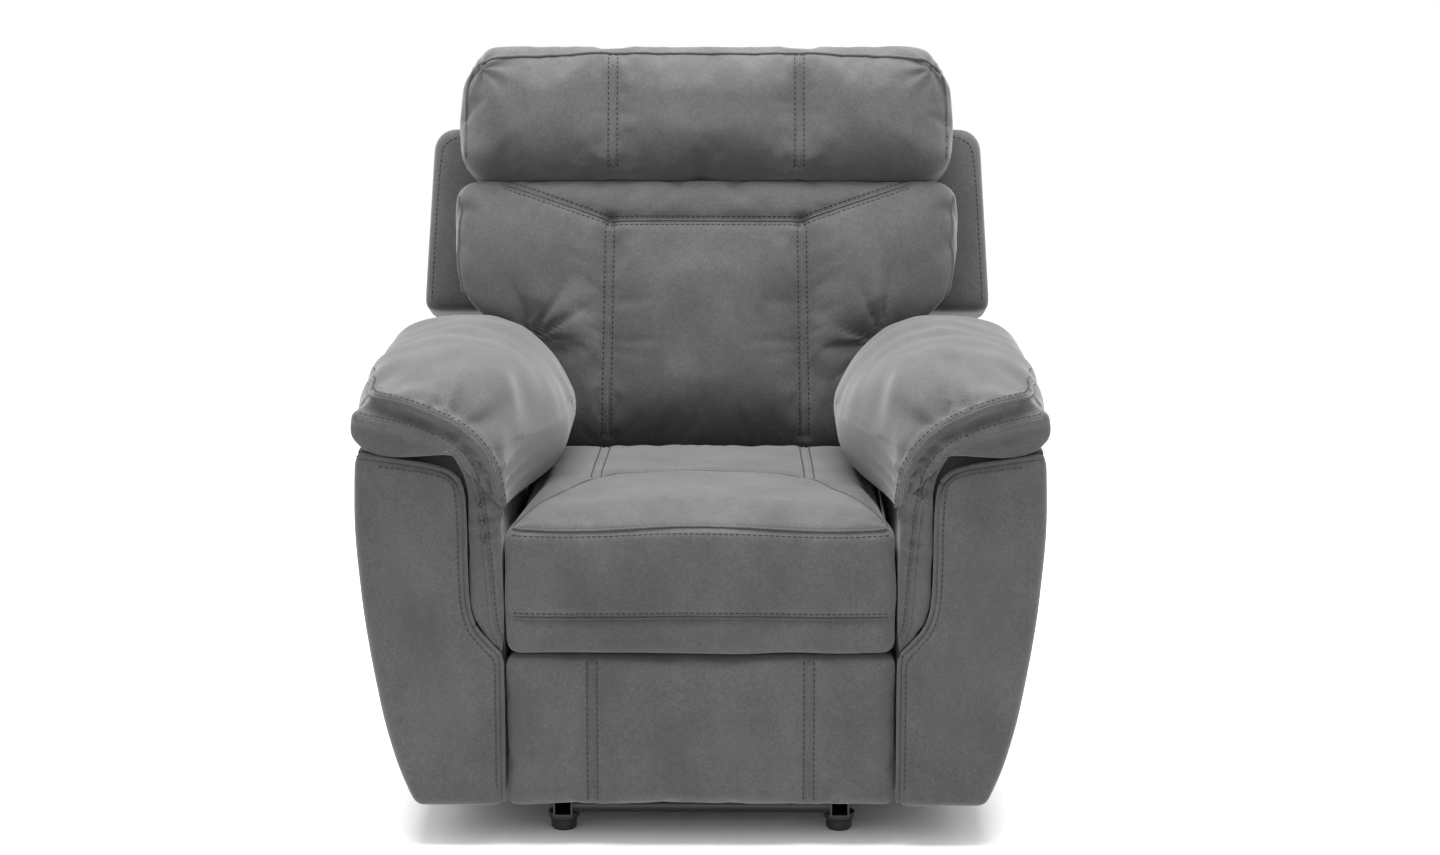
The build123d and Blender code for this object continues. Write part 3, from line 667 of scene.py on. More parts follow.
def build_seat():
    """Seat cushion: crowned top, full front border and a nose that hangs in front of the rail."""
    low, high = SEAT_LOW, SEAT_HIGH
    edge_z = high[2] - SEAT_DROP
    half = (high - low) / 2 - (-0.0012, 0.003, 0)
    middle = (high + low) / 2
    half[2] = (edge_z - SEAT_RAIL_TOP) / 2
    skin, quads = block(cells(2 * half[0]), cells(2 * half[1]), cells(0.17))
    shape = rounded(skin, half, 0.017) + (middle[0], middle[1], 0)
    up = np.clip(shape[:, 2] / half[2], -1, 1) * 0.5 + 0.5
    nose = smooth((low[1] + NOSE_DEPTH - shape[:, 1]) / 0.022)
    base = SEAT_RAIL_TOP + 0.0005 - 0.0395 * nose
    top = edge_z + 0.012 * (1 - np.abs(skin[:, 0]) ** 3) * (1 - np.abs(skin[:, 1]) ** 3)
    points = shape.copy()
    points[:, 2] = base + (top - base) * up
    seat = make_object("seat_cushion_cover", points, quads)
    front = points[:, 1] < low[1] + 0.02
    seam_low = np.abs(points[:, 2] - SEAT_LOW_SEAM) < 0.005
    seam_top = np.abs(points[:, 2] - (edge_z - 0.006)) < 0.005
    under = points[:, 2] < np.where(points[:, 1] < low[1] + 0.06, 0.272, 0.306)
    rear = points[:, 1] > high[1] - 0.01
    puff(seat, (front & (seam_low | seam_top)) | under | rear, cap=0.014, slack=0.012, strength=0.9)
    move_points(seat, within_sides(seat, low, high))
    subdivide(seat)
    x = np.linspace(-half[0] + 0.01, half[0] - 0.01, 130)
    sag = 0.0025 * np.cos(x / half[0] * math.pi * 1.5)
    top_line = place(x, low[1] - VIEW_GAP, edge_z - 0.004 + sag)
    low_line = place(x, low[1] - VIEW_GAP, SEAT_LOW_SEAM + sag * 0.3)
    bow_y = curve_through([0, 0.11, 0.15, 0.19, 0.223, 0.25], [-0.195, -0.202, -0.232, -0.305, -0.37, -0.42],
                          np.abs(x))
    above = high[2] + 0.24
    bow = place(x, bow_y, above)
    ribs = [resample([(side * x, y, above) for x, y in ((SEAT_SEAM_X, 0.07), (SEAT_SEAM_X + 0.004, -0.225))],
                     SEAM_STEP) for side in (-1, 1)]
    for line in (bow, *ribs):
        press(seat, cast(seat, line, TOP_VIEW)[0], 0.0035, 0.009)
    for line, depth in ((top_line, 0.004), (low_line, 0.0055)):
        press(seat, cast(seat, line, FRONT_VIEW)[0], depth, 0.008)
    unevenness(seat, 0.0009, 0.11, 4)
    belongs(seat, "seat", ["seat_cushion"])
    sew("seat_top", seat, ribs, "seat", TOP_VIEW)
    sew("seat_bow", seat, [bow], "seat", TOP_VIEW, rows=(1,))
    sew("seat_front_top", seat, [top_line], "seat", FRONT_VIEW, rows=(1,), rib=0.0019)
    sew("seat_front_low", seat, [low_line], "seat", FRONT_VIEW, rows=(-1,), rib=0.0016)


# --- footrest ----------------------------------------------------------------------------------------

def build_footrest():
    """Footrest pad: a rolled slab with two sewn channels down it and full panels between them."""
    low, high = PAD_LOW, PAD_HIGH
    half, middle = (high - low) / 2 - (-0.0012, 0.001, 0.0005), (high + low) / 2
    skin, quads = block(cells(2 * half[0]), 6, cells(2 * half[2]))
    points = rounded(skin, half, 0.013) + middle
    pad = make_object("footrest_pad_cover", points, quads)
    seams = np.min([np.abs(points[:, 0] - s * SEAT_SEAM_X) for s in (-1, 1)], axis=0) < 0.006
    held = (seams & (points[:, 1] < middle[1])) | (points[:, 1] > high[1] - 0.008)
    puff(pad, held, cap=0.008, slack=0.008, strength=0.8)
    placed = within_sides(pad, low, high)
    placed[:, 2] = np.clip(placed[:, 2], low[2], high[2] + 0.001)
    placed[:, 1] = np.maximum(placed[:, 1], low[1] - 0.004)
    move_points(pad, placed)
    subdivide(pad)
    before = low[1] - VIEW_GAP
    lines = [resample([(side * SEAT_SEAM_X, before, z) for z in (high[2] - 0.006, low[2] + 0.008)], SEAM_STEP)
             for side in (-1, 1)]
    for line in lines:
        press(pad, cast(pad, line, FRONT_VIEW)[0], 0.0045, 0.010)
    unevenness(pad, 0.0008, 0.1, 8)
    belongs(pad, "footrest", ["footrest_pad"])
    sew("footrest", pad, lines, "footrest", FRONT_VIEW)


# --- backrest ----------------------------------------------------------------------------------------

BACK_VIEW = raked(np.array([[0, 1, 0]]))[0] - raked(np.array([[0, 0, 0]]))[0]
LUMBAR_FRONT, LUMBAR_LOW, LUMBAR_TOP = -0.116, 0.094, 0.491
LUMBAR_WIDE, LUMBAR_BACK = 0.373, 0.010
BACK_SEAM_X, YOKE_Z = 0.142, 0.428      # the upright seams and the height where they fork
UNDERSIDE = 0.66                # rise of the lobes' undersides towards the rear


def lumbar_half_width(z):
    """Half width of the lumbar cushion: narrow between the arms, then out in a round lobe above them."""
    return curve_through([0.094, 0.220, 0.246, 0.275, 0.312, 0.37, 0.44, 0.491],
                         [0.236, 0.249, 0.282, 0.340, 0.366, 0.373, 0.373, 0.364], z)


def arch(half, crown_z):
    """A line from the left foot over the crown to the right foot, from its right half."""
    return [(-x, z) for x, z in half] + [(0, crown_z)] + half[::-1]


def build_lumbar():
    """Lumbar cushion: T-shaped, crowned between Y-shaped seams, with gathers at the lobes' corners."""
    half_z = (LUMBAR_TOP - LUMBAR_LOW) / 2
    middle_z = (LUMBAR_TOP + LUMBAR_LOW) / 2
    half_y = (LUMBAR_BACK - LUMBAR_FRONT) / 2 - 0.006
    skin, quads = block(cells(2 * LUMBAR_WIDE), cells(0.10), cells(2 * half_z))
    shape = rounded(skin, (LUMBAR_WIDE, half_y, half_z), 0.030)
    z = shape[:, 2] + middle_z
    y = shape[:, 1] + (LUMBAR_BACK + LUMBAR_FRONT) / 2 + 0.006
    wide = lumbar_half_width(z - UNDERSIDE * (y - LUMBAR_FRONT))
    x = shape[:, 0] / LUMBAR_WIDE * wide
    lean = 0.010 * (1 - np.abs(x / wide) ** 2.5) * (1 - np.abs(skin[:, 2]) ** 4)
    tucked = 0.012 * smooth((0.16 - z) / 0.06)
    local = place(x, y + (tucked - lean) * (skin[:, 1] < 0), z)
    cushion = make_object("lumbar_cushion_cover", raked(local), quads)
    sides = (-1, 1)
    seams = [resample([(side * 0.300, 0.484), (side * BACK_SEAM_X, YOKE_Z)], SEAM_STEP, 0) for side in sides]
    seams.append(resample([(-BACK_SEAM_X, YOKE_Z), (BACK_SEAM_X, YOKE_Z)], SEAM_STEP, 0))
    seams += [resample([(side * BACK_SEAM_X, YOKE_Z), (side * (BACK_SEAM_X + 0.004), 0.11)], SEAM_STEP, 0)
              for side in sides]
    gap = nearest(local[:, [0, 2]], np.vstack(seams))[0]
    held = ((gap < 0.006) & (skin[:, 1] < 0)) | (local[:, 1] > LUMBAR_BACK - 0.02)
    puff(cushion, held, cap=0.020, slack=0.016)
    placed = upright(points_of(cushion))
    placed[:, 1] = np.clip(placed[:, 1], LUMBAR_FRONT - 0.014, 0.013)
    placed[:, 2] = np.clip(placed[:, 2], LUMBAR_LOW - 0.002, LUMBAR_TOP + 0.002)
    limit = np.where(placed[:, 2] - UNDERSIDE * (placed[:, 1] - LUMBAR_FRONT) < 0.245, 0.253, 0.380)
    placed[:, 0] = np.clip(placed[:, 0], -limit, limit)
    move_points(cushion, raked(placed))
    subdivide(cushion)
    lines = [on_back(seam[:, 0], seam[:, 1]) for seam in seams]
    for line in lines:
        press(cushion, cast(cushion, line, BACK_VIEW)[0], 0.0045, 0.010)
    local = upright(points_of(cushion))
    front = local[:, 1] < -0.05
    for side in sides:
        away = local[:, [0, 2]] - (side * 0.262, 0.252)
        reach, angle = np.linalg.norm(away, axis=1), np.arctan2(away[:, 1], side * away[:, 0])
        fold = np.abs(np.sin(4.2 * angle + 0.8 * np.sin(3 * angle + side) + 9 * reach)) ** 0.6 - 0.7
        fade = smooth(reach / 0.02) * np.exp(-((reach - 0.03) / 0.055) ** 2)
        local[:, 1] -= 0.0085 * fold * fade * front
    local[:, 1] -= 0.0012 * ripple(local, 0.12, 5) * (local[:, 1] < -0.03)
    move_points(cushion, raked(local))
    belongs(cushion, "backrest", ["lumbar_cushion"])
    sew("lumbar", cushion, lines, "backrest", BACK_VIEW)
    for side, name in ((-1, "left"), (1, "right")):
        z_edge = np.linspace(0.315, LUMBAR_TOP - 0.022, 50)
        starts = on_back(side * 0.6, z_edge, LUMBAR_FRONT + 0.026)
        path, normals = cast(cushion, starts, (-side, 0, 0))
        piping("lumbar_piping_" + name, path + normals * 0.0008, "backrest")


HEAD_HALF, HEAD_LOW, HEAD_TOP = 0.364, 0.496, 0.692
HEAD_SEAM_X = 0.1385


def build_headrest():
    """Headrest: a fat bolster with sewn panels that rolls over the top of the frame."""
    back, front = 0.138, -0.122
    skin, quads = block(cells(2 * HEAD_HALF), cells(back - front), cells(0.22))
    half = np.array([HEAD_HALF, (back - front) / 2, (HEAD_TOP - HEAD_LOW) / 2])
    shape = rounded(skin, half, 0.040)
    y = shape[:, 1] + (back + front) / 2
    z = shape[:, 2] + (HEAD_TOP + HEAD_LOW) / 2
    corner = smooth((np.abs(shape[:, 0]) - (HEAD_HALF - 0.06)) / 0.06)
    z = z - 0.030 * corner ** 2 * smooth(skin[:, 2] * 0.5 + 0.5)
    behind = smooth(y / 0.03)
    floor = HEAD_LOW + (0.602 - HEAD_LOW) * behind
    z = floor + (z - HEAD_LOW) * (HEAD_TOP - floor) / (HEAD_TOP - HEAD_LOW)
    local = place(shape[:, 0], y, z)
    bolster = make_object("headrest_cover", raked(local), quads)
    seam = np.min([np.abs(local[:, 0] - s * HEAD_SEAM_X) for s in (-1, 1)], axis=0) < 0.006
    overhang = (local[:, 2] < 0.61) & (local[:, 1] > -0.01)
    held = (seam & (local[:, 1] < 0.06)) | (local[:, 1] > 0.10) | overhang
    puff(bolster, held, cap=0.018, slack=0.016)
    placed = upright(points_of(bolster))
    placed[:, 1] = np.clip(placed[:, 1], front - 0.014, 0.14)
    placed[:, 2] = np.clip(placed[:, 2], HEAD_LOW - 0.002, HEAD_TOP + 0.006)
    placed[:, 0] = np.clip(placed[:, 0], -HEAD_HALF - 0.008, HEAD_HALF + 0.008)
    move_points(bolster, raked(placed))
    subdivide(bolster)
    z_run = np.linspace(HEAD_LOW + 0.012, HEAD_TOP - 0.012, 60)
    lines = [on_back(side * HEAD_SEAM_X, z_run) for side in (-1, 1)]
    for line in lines:
        press(bolster, cast(bolster, line, BACK_VIEW)[0], 0.0045, 0.010)
    local = upright(points_of(bolster))
    for side in (-1, 1):
        reach = np.linalg.norm(local[:, [0, 2]] - (side * 0.335, 0.655), axis=1)
        angle = np.arctan2(local[:, 2] - 0.655, side * local[:, 0] - 0.335)
        local[:, 1] -= 0.003 * np.sin(angle * 8 + side) * np.exp(-(reach / 0.05) ** 2) * (local[:, 1] < -0.04)
    local[:, 1] -= 0.0010 * ripple(local, 0.10, 11) * (local[:, 1] < -0.03)
    move_points(bolster, raked(local))
    belongs(bolster, "backrest", ["headrest_cushion"])
    sew("headrest", bolster, lines, "backrest", BACK_VIEW)
    half_edge = [(HEAD_HALF - 0.002, HEAD_LOW + 0.03), (HEAD_HALF, 0.60), (HEAD_HALF - 0.006, 0.655),
                 (HEAD_HALF - 0.05, HEAD_TOP - 0.012)]
    edge = resample(arch(half_edge, HEAD_TOP - 0.006), 0.006, 3)
    path, normals = cast(bolster, on_back(edge[:, 0] * 0.985, edge[:, 1] - 0.004), BACK_VIEW)
    piping("headrest_piping", path + normals * 0.0012, "backrest")


BEHIND = 0.5                    # in the backrest's own frame, clear of its rear


def build_back_cover():
    """Outer back: a wide upper shell with flat wings and a skirt that hangs between the arms."""
    skin, quads = block(cells(0.86, 0.014), cells(0.12, 0.012), cells(0.284, 0.012))
    shape = rounded(skin, (0.432, 0.060, 0.142), 0.018)
    z = shape[:, 2] + 0.454
    narrow = 1 - 0.030 * (z - 0.312) / 0.284
    corner = smooth((np.abs(shape[:, 0]) - 0.398) / 0.034)
    z = z - 0.012 * corner ** 2 * smooth(skin[:, 2] * 0.5 + 0.5)
    bulge = 0.008 * (1 - skin[:, 0] ** 4) * (1 - skin[:, 2] ** 2) * (skin[:, 1] > 0)
    local = place(shape[:, 0] * narrow, shape[:, 1] + 0.090 + bulge, z)
    upper = make_object("back_shell_cover", raked(local), quads)
    subdivide(upper)
    belongs(upper, "backrest", ["back_cover"])
    skin, quads = block(cells(0.51, 0.014), 6, cells(0.30, 0.014))
    shape = rounded(skin, (0.2555, 0.043, 0.151), 0.014)
    z = shape[:, 2] + 0.171
    wrap = 0.051 * smooth((z - 0.080) / 0.03) * (1 - skin[:, 1]) / 2       # reaches forward over the posts
    local = place(shape[:, 0], shape[:, 1] + 0.109 - wrap, z)
    skirt = make_object("back_skirt_cover", raked(local), quads)
    subdivide(skirt)
    belongs(skirt, "backrest")
    rows = []
    for side in (-1, 1):
        half = ((0.4195, 0.33), (0.4095, 0.55), (0.399, 0.576), (0.36, 0.585))
        line = resample([(side * x, z) for x, z in half], SEAM_STEP)
        rows.append(on_back(line[:, 0], line[:, 1]))
    sew("back_wings", upper, rows, "backrest", BACK_VIEW, rows=(0,), rib=0)
    rim = resample(arch([(0.424, 0.33), (0.414, 0.55), (0.396, 0.583)], 0.588), 0.006)
    path, normals = cast(upper, on_back(rim[:, 0] * 0.985, rim[:, 1] - 0.004, BEHIND), -BACK_VIEW)
    piping("back_shell_piping", path + normals * 0.001, "backrest")
    for name, piece, top, bottom in (("back_shell", upper, 0.585, 0.325), ("back_skirt", skirt, 0.308, 0.03)):
        line = resample([(0, top), (0, bottom)], SEAM_STEP)
        sew(name, piece, [on_back(line[:, 0], line[:, 1], BEHIND)], "backrest", -BACK_VIEW)


# --- arms --------------------------------------------------------------------------------------------

ARM_FOOT = 0.056
PANEL_HEIGHT, PANEL_TOP, PANEL_DEPTH = 0.475, 0.515, 0.030


def arm_outer_x(z):
    """Outer side of the arm: narrow at the foot, flaring to its full width above mid height."""
    return curve_through([ARM_FOOT, 0.115, 0.194, 0.345, 0.45, 0.531],
                         [0.380, 0.404, 0.4245, 0.4475, 0.4545, 0.4515], z)


def arm_inner_edge(z):
    """Inner edge of the arm's front panel, cut back above the pad that drops down beside the seat."""
    return curve_through([ARM_FOOT, 0.262, 0.275, 0.300, 0.345, 0.470, 0.495, 0.508, 0.515],
                         [0.2625, 0.2630, 0.278, 0.298, 0.3085, 0.3085, 0.316, 0.330, 0.346], z)


def arm_piping_path():
    """Along the top of the front panel, round its shoulder and down its inner edge."""
    return resample([(0.449, 0.530), (0.40, 0.524), (0.345, 0.516), (0.320, 0.506), (0.309, 0.480),
                     (0.309, 0.345), (0.301, 0.303), (0.280, 0.279), (0.2632, 0.262), (0.2625, 0.24),
                     (0.2625, 0.062)], 0.005, 2)


def build_arm_bodies():
    """Padded arm boxes: flared outside and rear, and a front panel piped at its top and inner edge."""
    depth = COVER_HIGH[1] - FRONT_Y - PANEL_DEPTH
    skin, quads = block(cells(0.19, 0.012), cells(depth, 0.014), cells(PANEL_HEIGHT, 0.012))
    top = ARM_TOP + 0.004                   # hides the boards under the pillow
    shape = rounded(skin, (0.5, depth / 2, (top - ARM_FOOT) / 2), 0.012)
    z = shape[:, 2] + (top + ARM_FOOT) / 2
    across = shape[:, 0] + 0.5
    x = INNER_X - 0.0006 + across * (arm_outer_x(z) - INNER_X)
    crown = 0.004 * smooth(across * 3 - 2) * (1 - skin[:, 1] ** 4) * (1 - skin[:, 2] ** 4)
    body_points = place(x + crown, shape[:, 1] + (COVER_HIGH[1] + FRONT_Y + PANEL_DEPTH) / 2, z)
    skin, panel_quads = block(cells(0.16, 0.007), 6, cells(PANEL_HEIGHT, 0.007))
    shape = rounded(skin, (0.09, 0.022, PANEL_HEIGHT / 2), 0.015)
    z = ARM_FOOT + (shape[:, 2] + PANEL_HEIGHT / 2) * (PANEL_TOP - ARM_FOOT) / PANEL_HEIGHT
    inner, outer = arm_inner_edge(z), arm_outer_x(z)
    x = inner + (shape[:, 0] / 0.09 + 1) / 2 * (outer - inner)
    z = z + 0.017 * smooth((z - 0.44) / 0.075) * (x - 0.345) / 0.106        # its top rises outwards
    crown = 0.0035 * (1 - skin[:, 0] ** 4) * (1 - skin[:, 2] ** 6) * (skin[:, 1] < 0)
    panel_points = place(x, shape[:, 1] + FRONT_Y + 0.0225 - crown, z)
    path = arm_piping_path()
    inset = offset_line(np.insert(path, 1, 0, axis=1), np.array([0, -1.0, 0]), -0.0085)[6:-4]
    for side, name in ((1, "right"), (-1, "left")):
        flip = (side, 1, 1)
        body = make_object("arm_body_" + name, body_points * flip, quads[:, ::side])
        if side < 0:
            open_pocket(body)
        belongs(body, "base", ["arm_cover_" + name])
        panel = make_object("arm_front_panel_" + name, panel_points * flip, panel_quads[:, ::side])
        subdivide(panel)
        belongs(panel, "base")
        piping("arm_piping_" + name, place(side * path[:, 0], FRONT_Y + 0.008, path[:, 1]), "base", 0.0032)
        starts = inset * flip + (0, FRONT_Y - 0.2, 0)
        sew("arm_panel_" + name, panel, [starts], "base", FRONT_VIEW, rows=(0,), rib=0)
        if side > 0:
            rear = resample([(0.270, 0.500), (0.270, 0.075)], SEAM_STEP)
            starts = place(rear[:, 0], 0.6, rear[:, 1])
            sew("arm_rear_" + name, body, [starts], "base", REAR_VIEW, rows=(0,), rib=0)


def open_pocket(body):
    """Cuts the pocket for the release handle's tub and rim through the cover."""
    low, high = (np.array(corner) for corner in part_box("release_bezel_left"))
    wall, slack = 0.0080, 0.0006            # the rim's width round the tub, and the gap round the rim
    tub = (low + (-0.1, wall, wall), high - (0.0005, wall, wall))
    rim = (low - (0.1, slack, slack), (low[0] + 0.0028, high[1] + slack, high[2] + slack))
    for near, far in (tub, rim):
        near, far = np.array(near), np.array(far)
        skin, quads = block(1, 1, 1)
        cutter = make_object("cutter", skin * (far - near) / 2 + (near + far) / 2, quads)
        cut = body.modifiers.new("Pocket", "BOOLEAN")
        cut.operation, cut.solver, cut.object = "DIFFERENCE", "EXACT", cutter
        keep_result(body)
        bpy.data.objects.remove(cutter)


UPPER_SEAM = [(0.455, 0.612), (0.395, 0.606), (0.345, 0.588), (0.300, 0.562), (0.272, 0.528), (0.262, 0.487),
              (0.2605, 0.445)]
LOWER_SEAM = [(0.446, 0.582), (0.385, 0.570), (0.330, 0.548), (0.300, 0.518), (0.288, 0.470), (0.281, 0.400),
              (0.2745, 0.300), (0.268, 0.284)]
PILLOW_TURN = np.array([0, 0.08, 0.16, 0.25, 0.33, 0.42, 0.50, 0.58, 0.66, 0.74, 0.80, 0.86, 0.92, 1.0])
PILLOW_X = [0.4525, 0.4540, 0.432, 0.385, 0.330, 0.268, None, None, None, None, 0.262, 0.300, 0.412, 0.4525]
PILLOW_Z = [0.556, 0.598, 0.629, 0.646, 0.651, 0.636, 0.594, 0.540, 0.492, 0.460, 0.475, 0.528, 0.528, 0.556]
PILLOW_INSIDE = {6: 0.55, 7: 1.0, 8: 0.98, 9: 0.55}     # how far the open places of PILLOW_X hang inwards
PILLOW_BASE = 0.531


def pillow_section(turn, y):
    """Section of the arm pillow by angle: flat on the arm, full above it, hanging over inside it."""
    inner = INNER_X - 0.006 - 0.066 * smooth((y - FRONT_Y) / 0.30)
    turn = np.mod(turn, 1.0)
    outline = np.zeros((len(turn), len(PILLOW_TURN)))
    for k, value in enumerate(PILLOW_X):
        outline[:, k] = value if value is not None else 0.258 - PILLOW_INSIDE[k] * (0.258 - inner)
    i = np.clip(np.searchsorted(PILLOW_TURN, turn, side="right") - 1, 0, len(PILLOW_TURN) - 2)
    t = (turn - PILLOW_TURN[i]) / (PILLOW_TURN[i + 1] - PILLOW_TURN[i])
    rows = np.arange(len(turn))

    def through(table):
        ring = table[:, :-1]
        p0, p1, p2, p3 = (ring[rows, (i + k) % ring.shape[1]] for k in (-1, 0, 1, 2))
        bend, twist = 2 * p0 - 5 * p1 + 4 * p2 - p3, 3 * p1 - p0 - 3 * p2 + p3
        return 0.5 * (2 * p1 + (p2 - p0) * t + bend * t ** 2 + twist * t ** 3)

    return through(outline), through(np.tile(PILLOW_Z, (len(turn), 1)))


def before_arm(line, side=1):
    """A front seam's starting points, just before the arm."""
    return place(side * line[:, 0], FRONT_Y - 0.2, line[:, 1])


def build_arm_pillows():
    """Arm pillows: a fat soft roll with a round nose, gathered into the seam across its front."""
    around, along = 96, 108
    front, rear = FRONT_Y + 0.001, PILLOW_HIGH[1]
    face, tail = 32, 0.075
    radial = np.sin(np.linspace(0.03, 1, face) * math.pi / 2)
    turn = np.linspace(0, 1, around, endpoint=False)
    inside = np.exp(-((turn - 0.43) / 0.14) ** 4)
    nose = 0.026 + 0.085 * inside            # rounder at its inner shoulder
    power = 6 - 3.8 * inside
    depth = 1 - (1 - radial[:, None] ** power) ** (1 / power)
    front_y = front + nose * depth + 0.003 * radial[:, None] ** 2
    start_y = front + 0.003 + nose
    steps = np.linspace(0, 1, along + 2 - face)[1:, None]
    y = np.vstack([front_y, start_y + (rear - start_y) * steps]).ravel()
    ending = (1 - np.clip((y - (rear - tail)) / tail, 0, 1) ** 2.4) ** (1 / 2.4)
    size = np.maximum(ending, 0.02) * np.repeat(np.concatenate([radial, np.ones(len(steps))]), around)
    crest = curve_through([-0.47, -0.06, 0.02, 0.062, 0.10, 0.15, 0.20, 0.27],
                          [1, 1, 0.985, 0.87, 0.62, 0.45, 0.28, 0.12], y)
    drop = (0.72 + 0.28 * smooth((y - front) / 0.19)) * crest
    x, z = pillow_section(np.tile(turn, along + 1), y)
    z = np.where(z > PILLOW_BASE, PILLOW_BASE + (z - PILLOW_BASE) * drop, z)
    squeeze = smooth((y - 0.015) / 0.05)    # beside the backrest nothing hangs over inside
    x = np.where(x < INNER_X + 0.004, x + (INNER_X + 0.004 - x) * squeeze, x)
    z = np.where(z < PILLOW_BASE, z + (PILLOW_BASE - z) * squeeze, z)
    centre_x, centre_z = 0.345, 0.545 + 0.016 * drop
    points = place(centre_x + (x - centre_x) * size, y, centre_z + (z - centre_z) * size)
    lid = ring_lid(around)[:, [0, 3, 2, 1]]
    quads = np.vstack([ring_quads(along + 1, around), lid, lid[:, ::-1] + along * around])
    pillow = make_object("arm_pillow_cover_right", points, quads)
    upper, lower = resample(UPPER_SEAM, SEAM_STEP), resample(LOWER_SEAM, SEAM_STEP)
    near_seam = (y < FRONT_Y + 0.04) & (nearest(points[:, [0, 2]], upper)[0] < 0.005)
    rest = (z < PILLOW_BASE + 0.003) & (x > INNER_X)
    puff(pillow, near_seam | rest | (size < 0.05) | (y > 0.05), cap=0.014, slack=0.03, strength=0.9)
    placed = points_of(pillow)
    placed[:, 0] = np.clip(placed[:, 0], PILLOW_LOW[0] - 0.004, PILLOW_HIGH[0] + 0.006)
    placed[:, 1] = np.clip(placed[:, 1], FRONT_Y - 0.010, rear)
    move_points(pillow, placed)
    subdivide(pillow)
    gather(pillow, resample(UPPER_SEAM, 0.0012))
    for line, depth in ((upper, 0.0085), (lower, 0.0065)):
        path = cast(pillow, before_arm(line), FRONT_VIEW)[0]
        press(pillow, path[path[:, 1] < FRONT_Y + 0.08], depth, 0.0085)
    belongs(pillow, "base", ["arm_pillow_right"])
    other = mirror_piece(pillow, "arm_pillow_cover_left")
    belongs(other, "base", ["arm_pillow_left"])
    for side, name, piece, pad in zip((1, -1), ("right", "left"), (pillow, other), build_drops()):
        both = join_arrays([(points_of(each), faces_of(each)) for each in (piece, pad)])
        merged = make_object("sewing_guide", *both)
        flipped = [before_arm(line, side)[::side] for line in (upper, lower)]
        sew("arm_band_" + name, merged, flipped, "base", FRONT_VIEW, rows=(1,), rib=0.0022)
        bpy.data.objects.remove(merged)


def gather(pillow, upper):
    """Folds drawn into the front seam: deep at the seam, uneven in width, fading as they run up."""
    points = points_of(pillow)
    gap, run, pick = nearest(points[:, [0, 2]], upper)
    front = 1 - smooth((points[:, 1] - FRONT_Y - 0.05) / 0.16)
    reach = np.hypot(gap, np.maximum(points[:, 1] - FRONT_Y, 0) * 0.8)
    above = (points[:, 2] - upper[pick, 1]) + (upper[pick, 0] - points[:, 0]) * 0.6 > 0
    phase = run / 0.034 + 0.45 * np.sin(run / 0.021 + 1.0) + 0.25 * np.sin(run / 0.043) + 0.10 * reach / 0.03
    pinched = np.abs(np.sin(math.pi * phase)) - 0.64        # round folds between narrow creases
    corner = np.exp(-((run - 0.14) / 0.09) ** 2) * 0.75 + 0.25
    fade = smooth(reach / 0.012) * np.exp(-reach / (0.046 + 0.018 * np.sin(run / 0.017)))
    move = 0.0115 * pinched * corner * fade * front * above
    below = ~above & (reach < 0.05)
    tuck = np.abs(np.sin(math.pi * (run / 0.038 + 0.4 * np.sin(run / 0.03)))) - 0.6
    move += (0.0045 * tuck * corner + 0.0035) * below * np.exp(-((gap - 0.015) / 0.010) ** 2) * front
    lie = np.sin(2 * math.pi * (points[:, 0] * 9 + 2.2 * points[:, 1] + 0.3 * ripple(points, 0.2, 21)))
    move += 0.0010 * lie * smooth((points[:, 2] - 0.54) / 0.05)
    move += 0.0016 * ripple(points, 0.09, 7) * (points[:, 2] > 0.54)
    move_points(pillow, points + normals_of(pillow) * move[:, None])


def build_drops():
    """Front pads: tapered, from the pillow down beside the seat, with small tucks across them."""
    skin, quads = block(14, 8, 60)
    z = 0.2665 + (skin[:, 2] + 1) / 2 * 0.285
    inner = curve_through([0.2665, 0.30, 0.5, 0.5515], [0.2630, 0.2602, 0.2602, 0.270], z)
    outer = curve_through([0.2665, 0.285, 0.31, 0.35, 0.47, 0.50, 0.53, 0.5515],
                          [0.2655, 0.282, 0.297, 0.3045, 0.3045, 0.309, 0.324, 0.336], z)
    shape = rounded(skin, (0.022, 0.017, 0.1425), 0.0135)
    x = inner + (shape[:, 0] / 0.022 + 1) / 2 * (outer - inner)
    taper = 0.55 + 0.45 * smooth((z - 0.27) / 0.06)
    y = FRONT_Y + 0.021 + shape[:, 1] * taper
    points = place(x, y, shape[:, 2] + 0.409)
    line, made = resample(LOWER_SEAM, SEAM_STEP), []
    for side, name in ((1, "right"), (-1, "left")):
        pad = make_object("arm_drop_" + name, points * (side, 1, 1), quads[:, ::side])
        subdivide(pad)
        placed = points_of(pad)
        across = (np.abs(placed[:, 0]) - 0.258) / 0.045
        wander = 0.25 * np.sin(placed[:, 2] * 60 + side)
        tuck = np.sin(2 * math.pi * ((placed[:, 2] + 0.0105 * across) / 0.031 + wander))
        weight = (smooth((placed[:, 2] - 0.37) / 0.07) + 0.25) * np.sin(math.pi * np.clip(across, 0, 1))
        swell = 0.0026 * tuck * weight + 0.0007 * ripple(placed, 0.05, 13)
        move_points(pad, placed + normals_of(pad) * swell[:, None])
        press(pad, cast(pad, before_arm(line, side), FRONT_VIEW)[0], 0.0035, 0.006)
        belongs(pad, "base")
        made.append(pad)
    return made


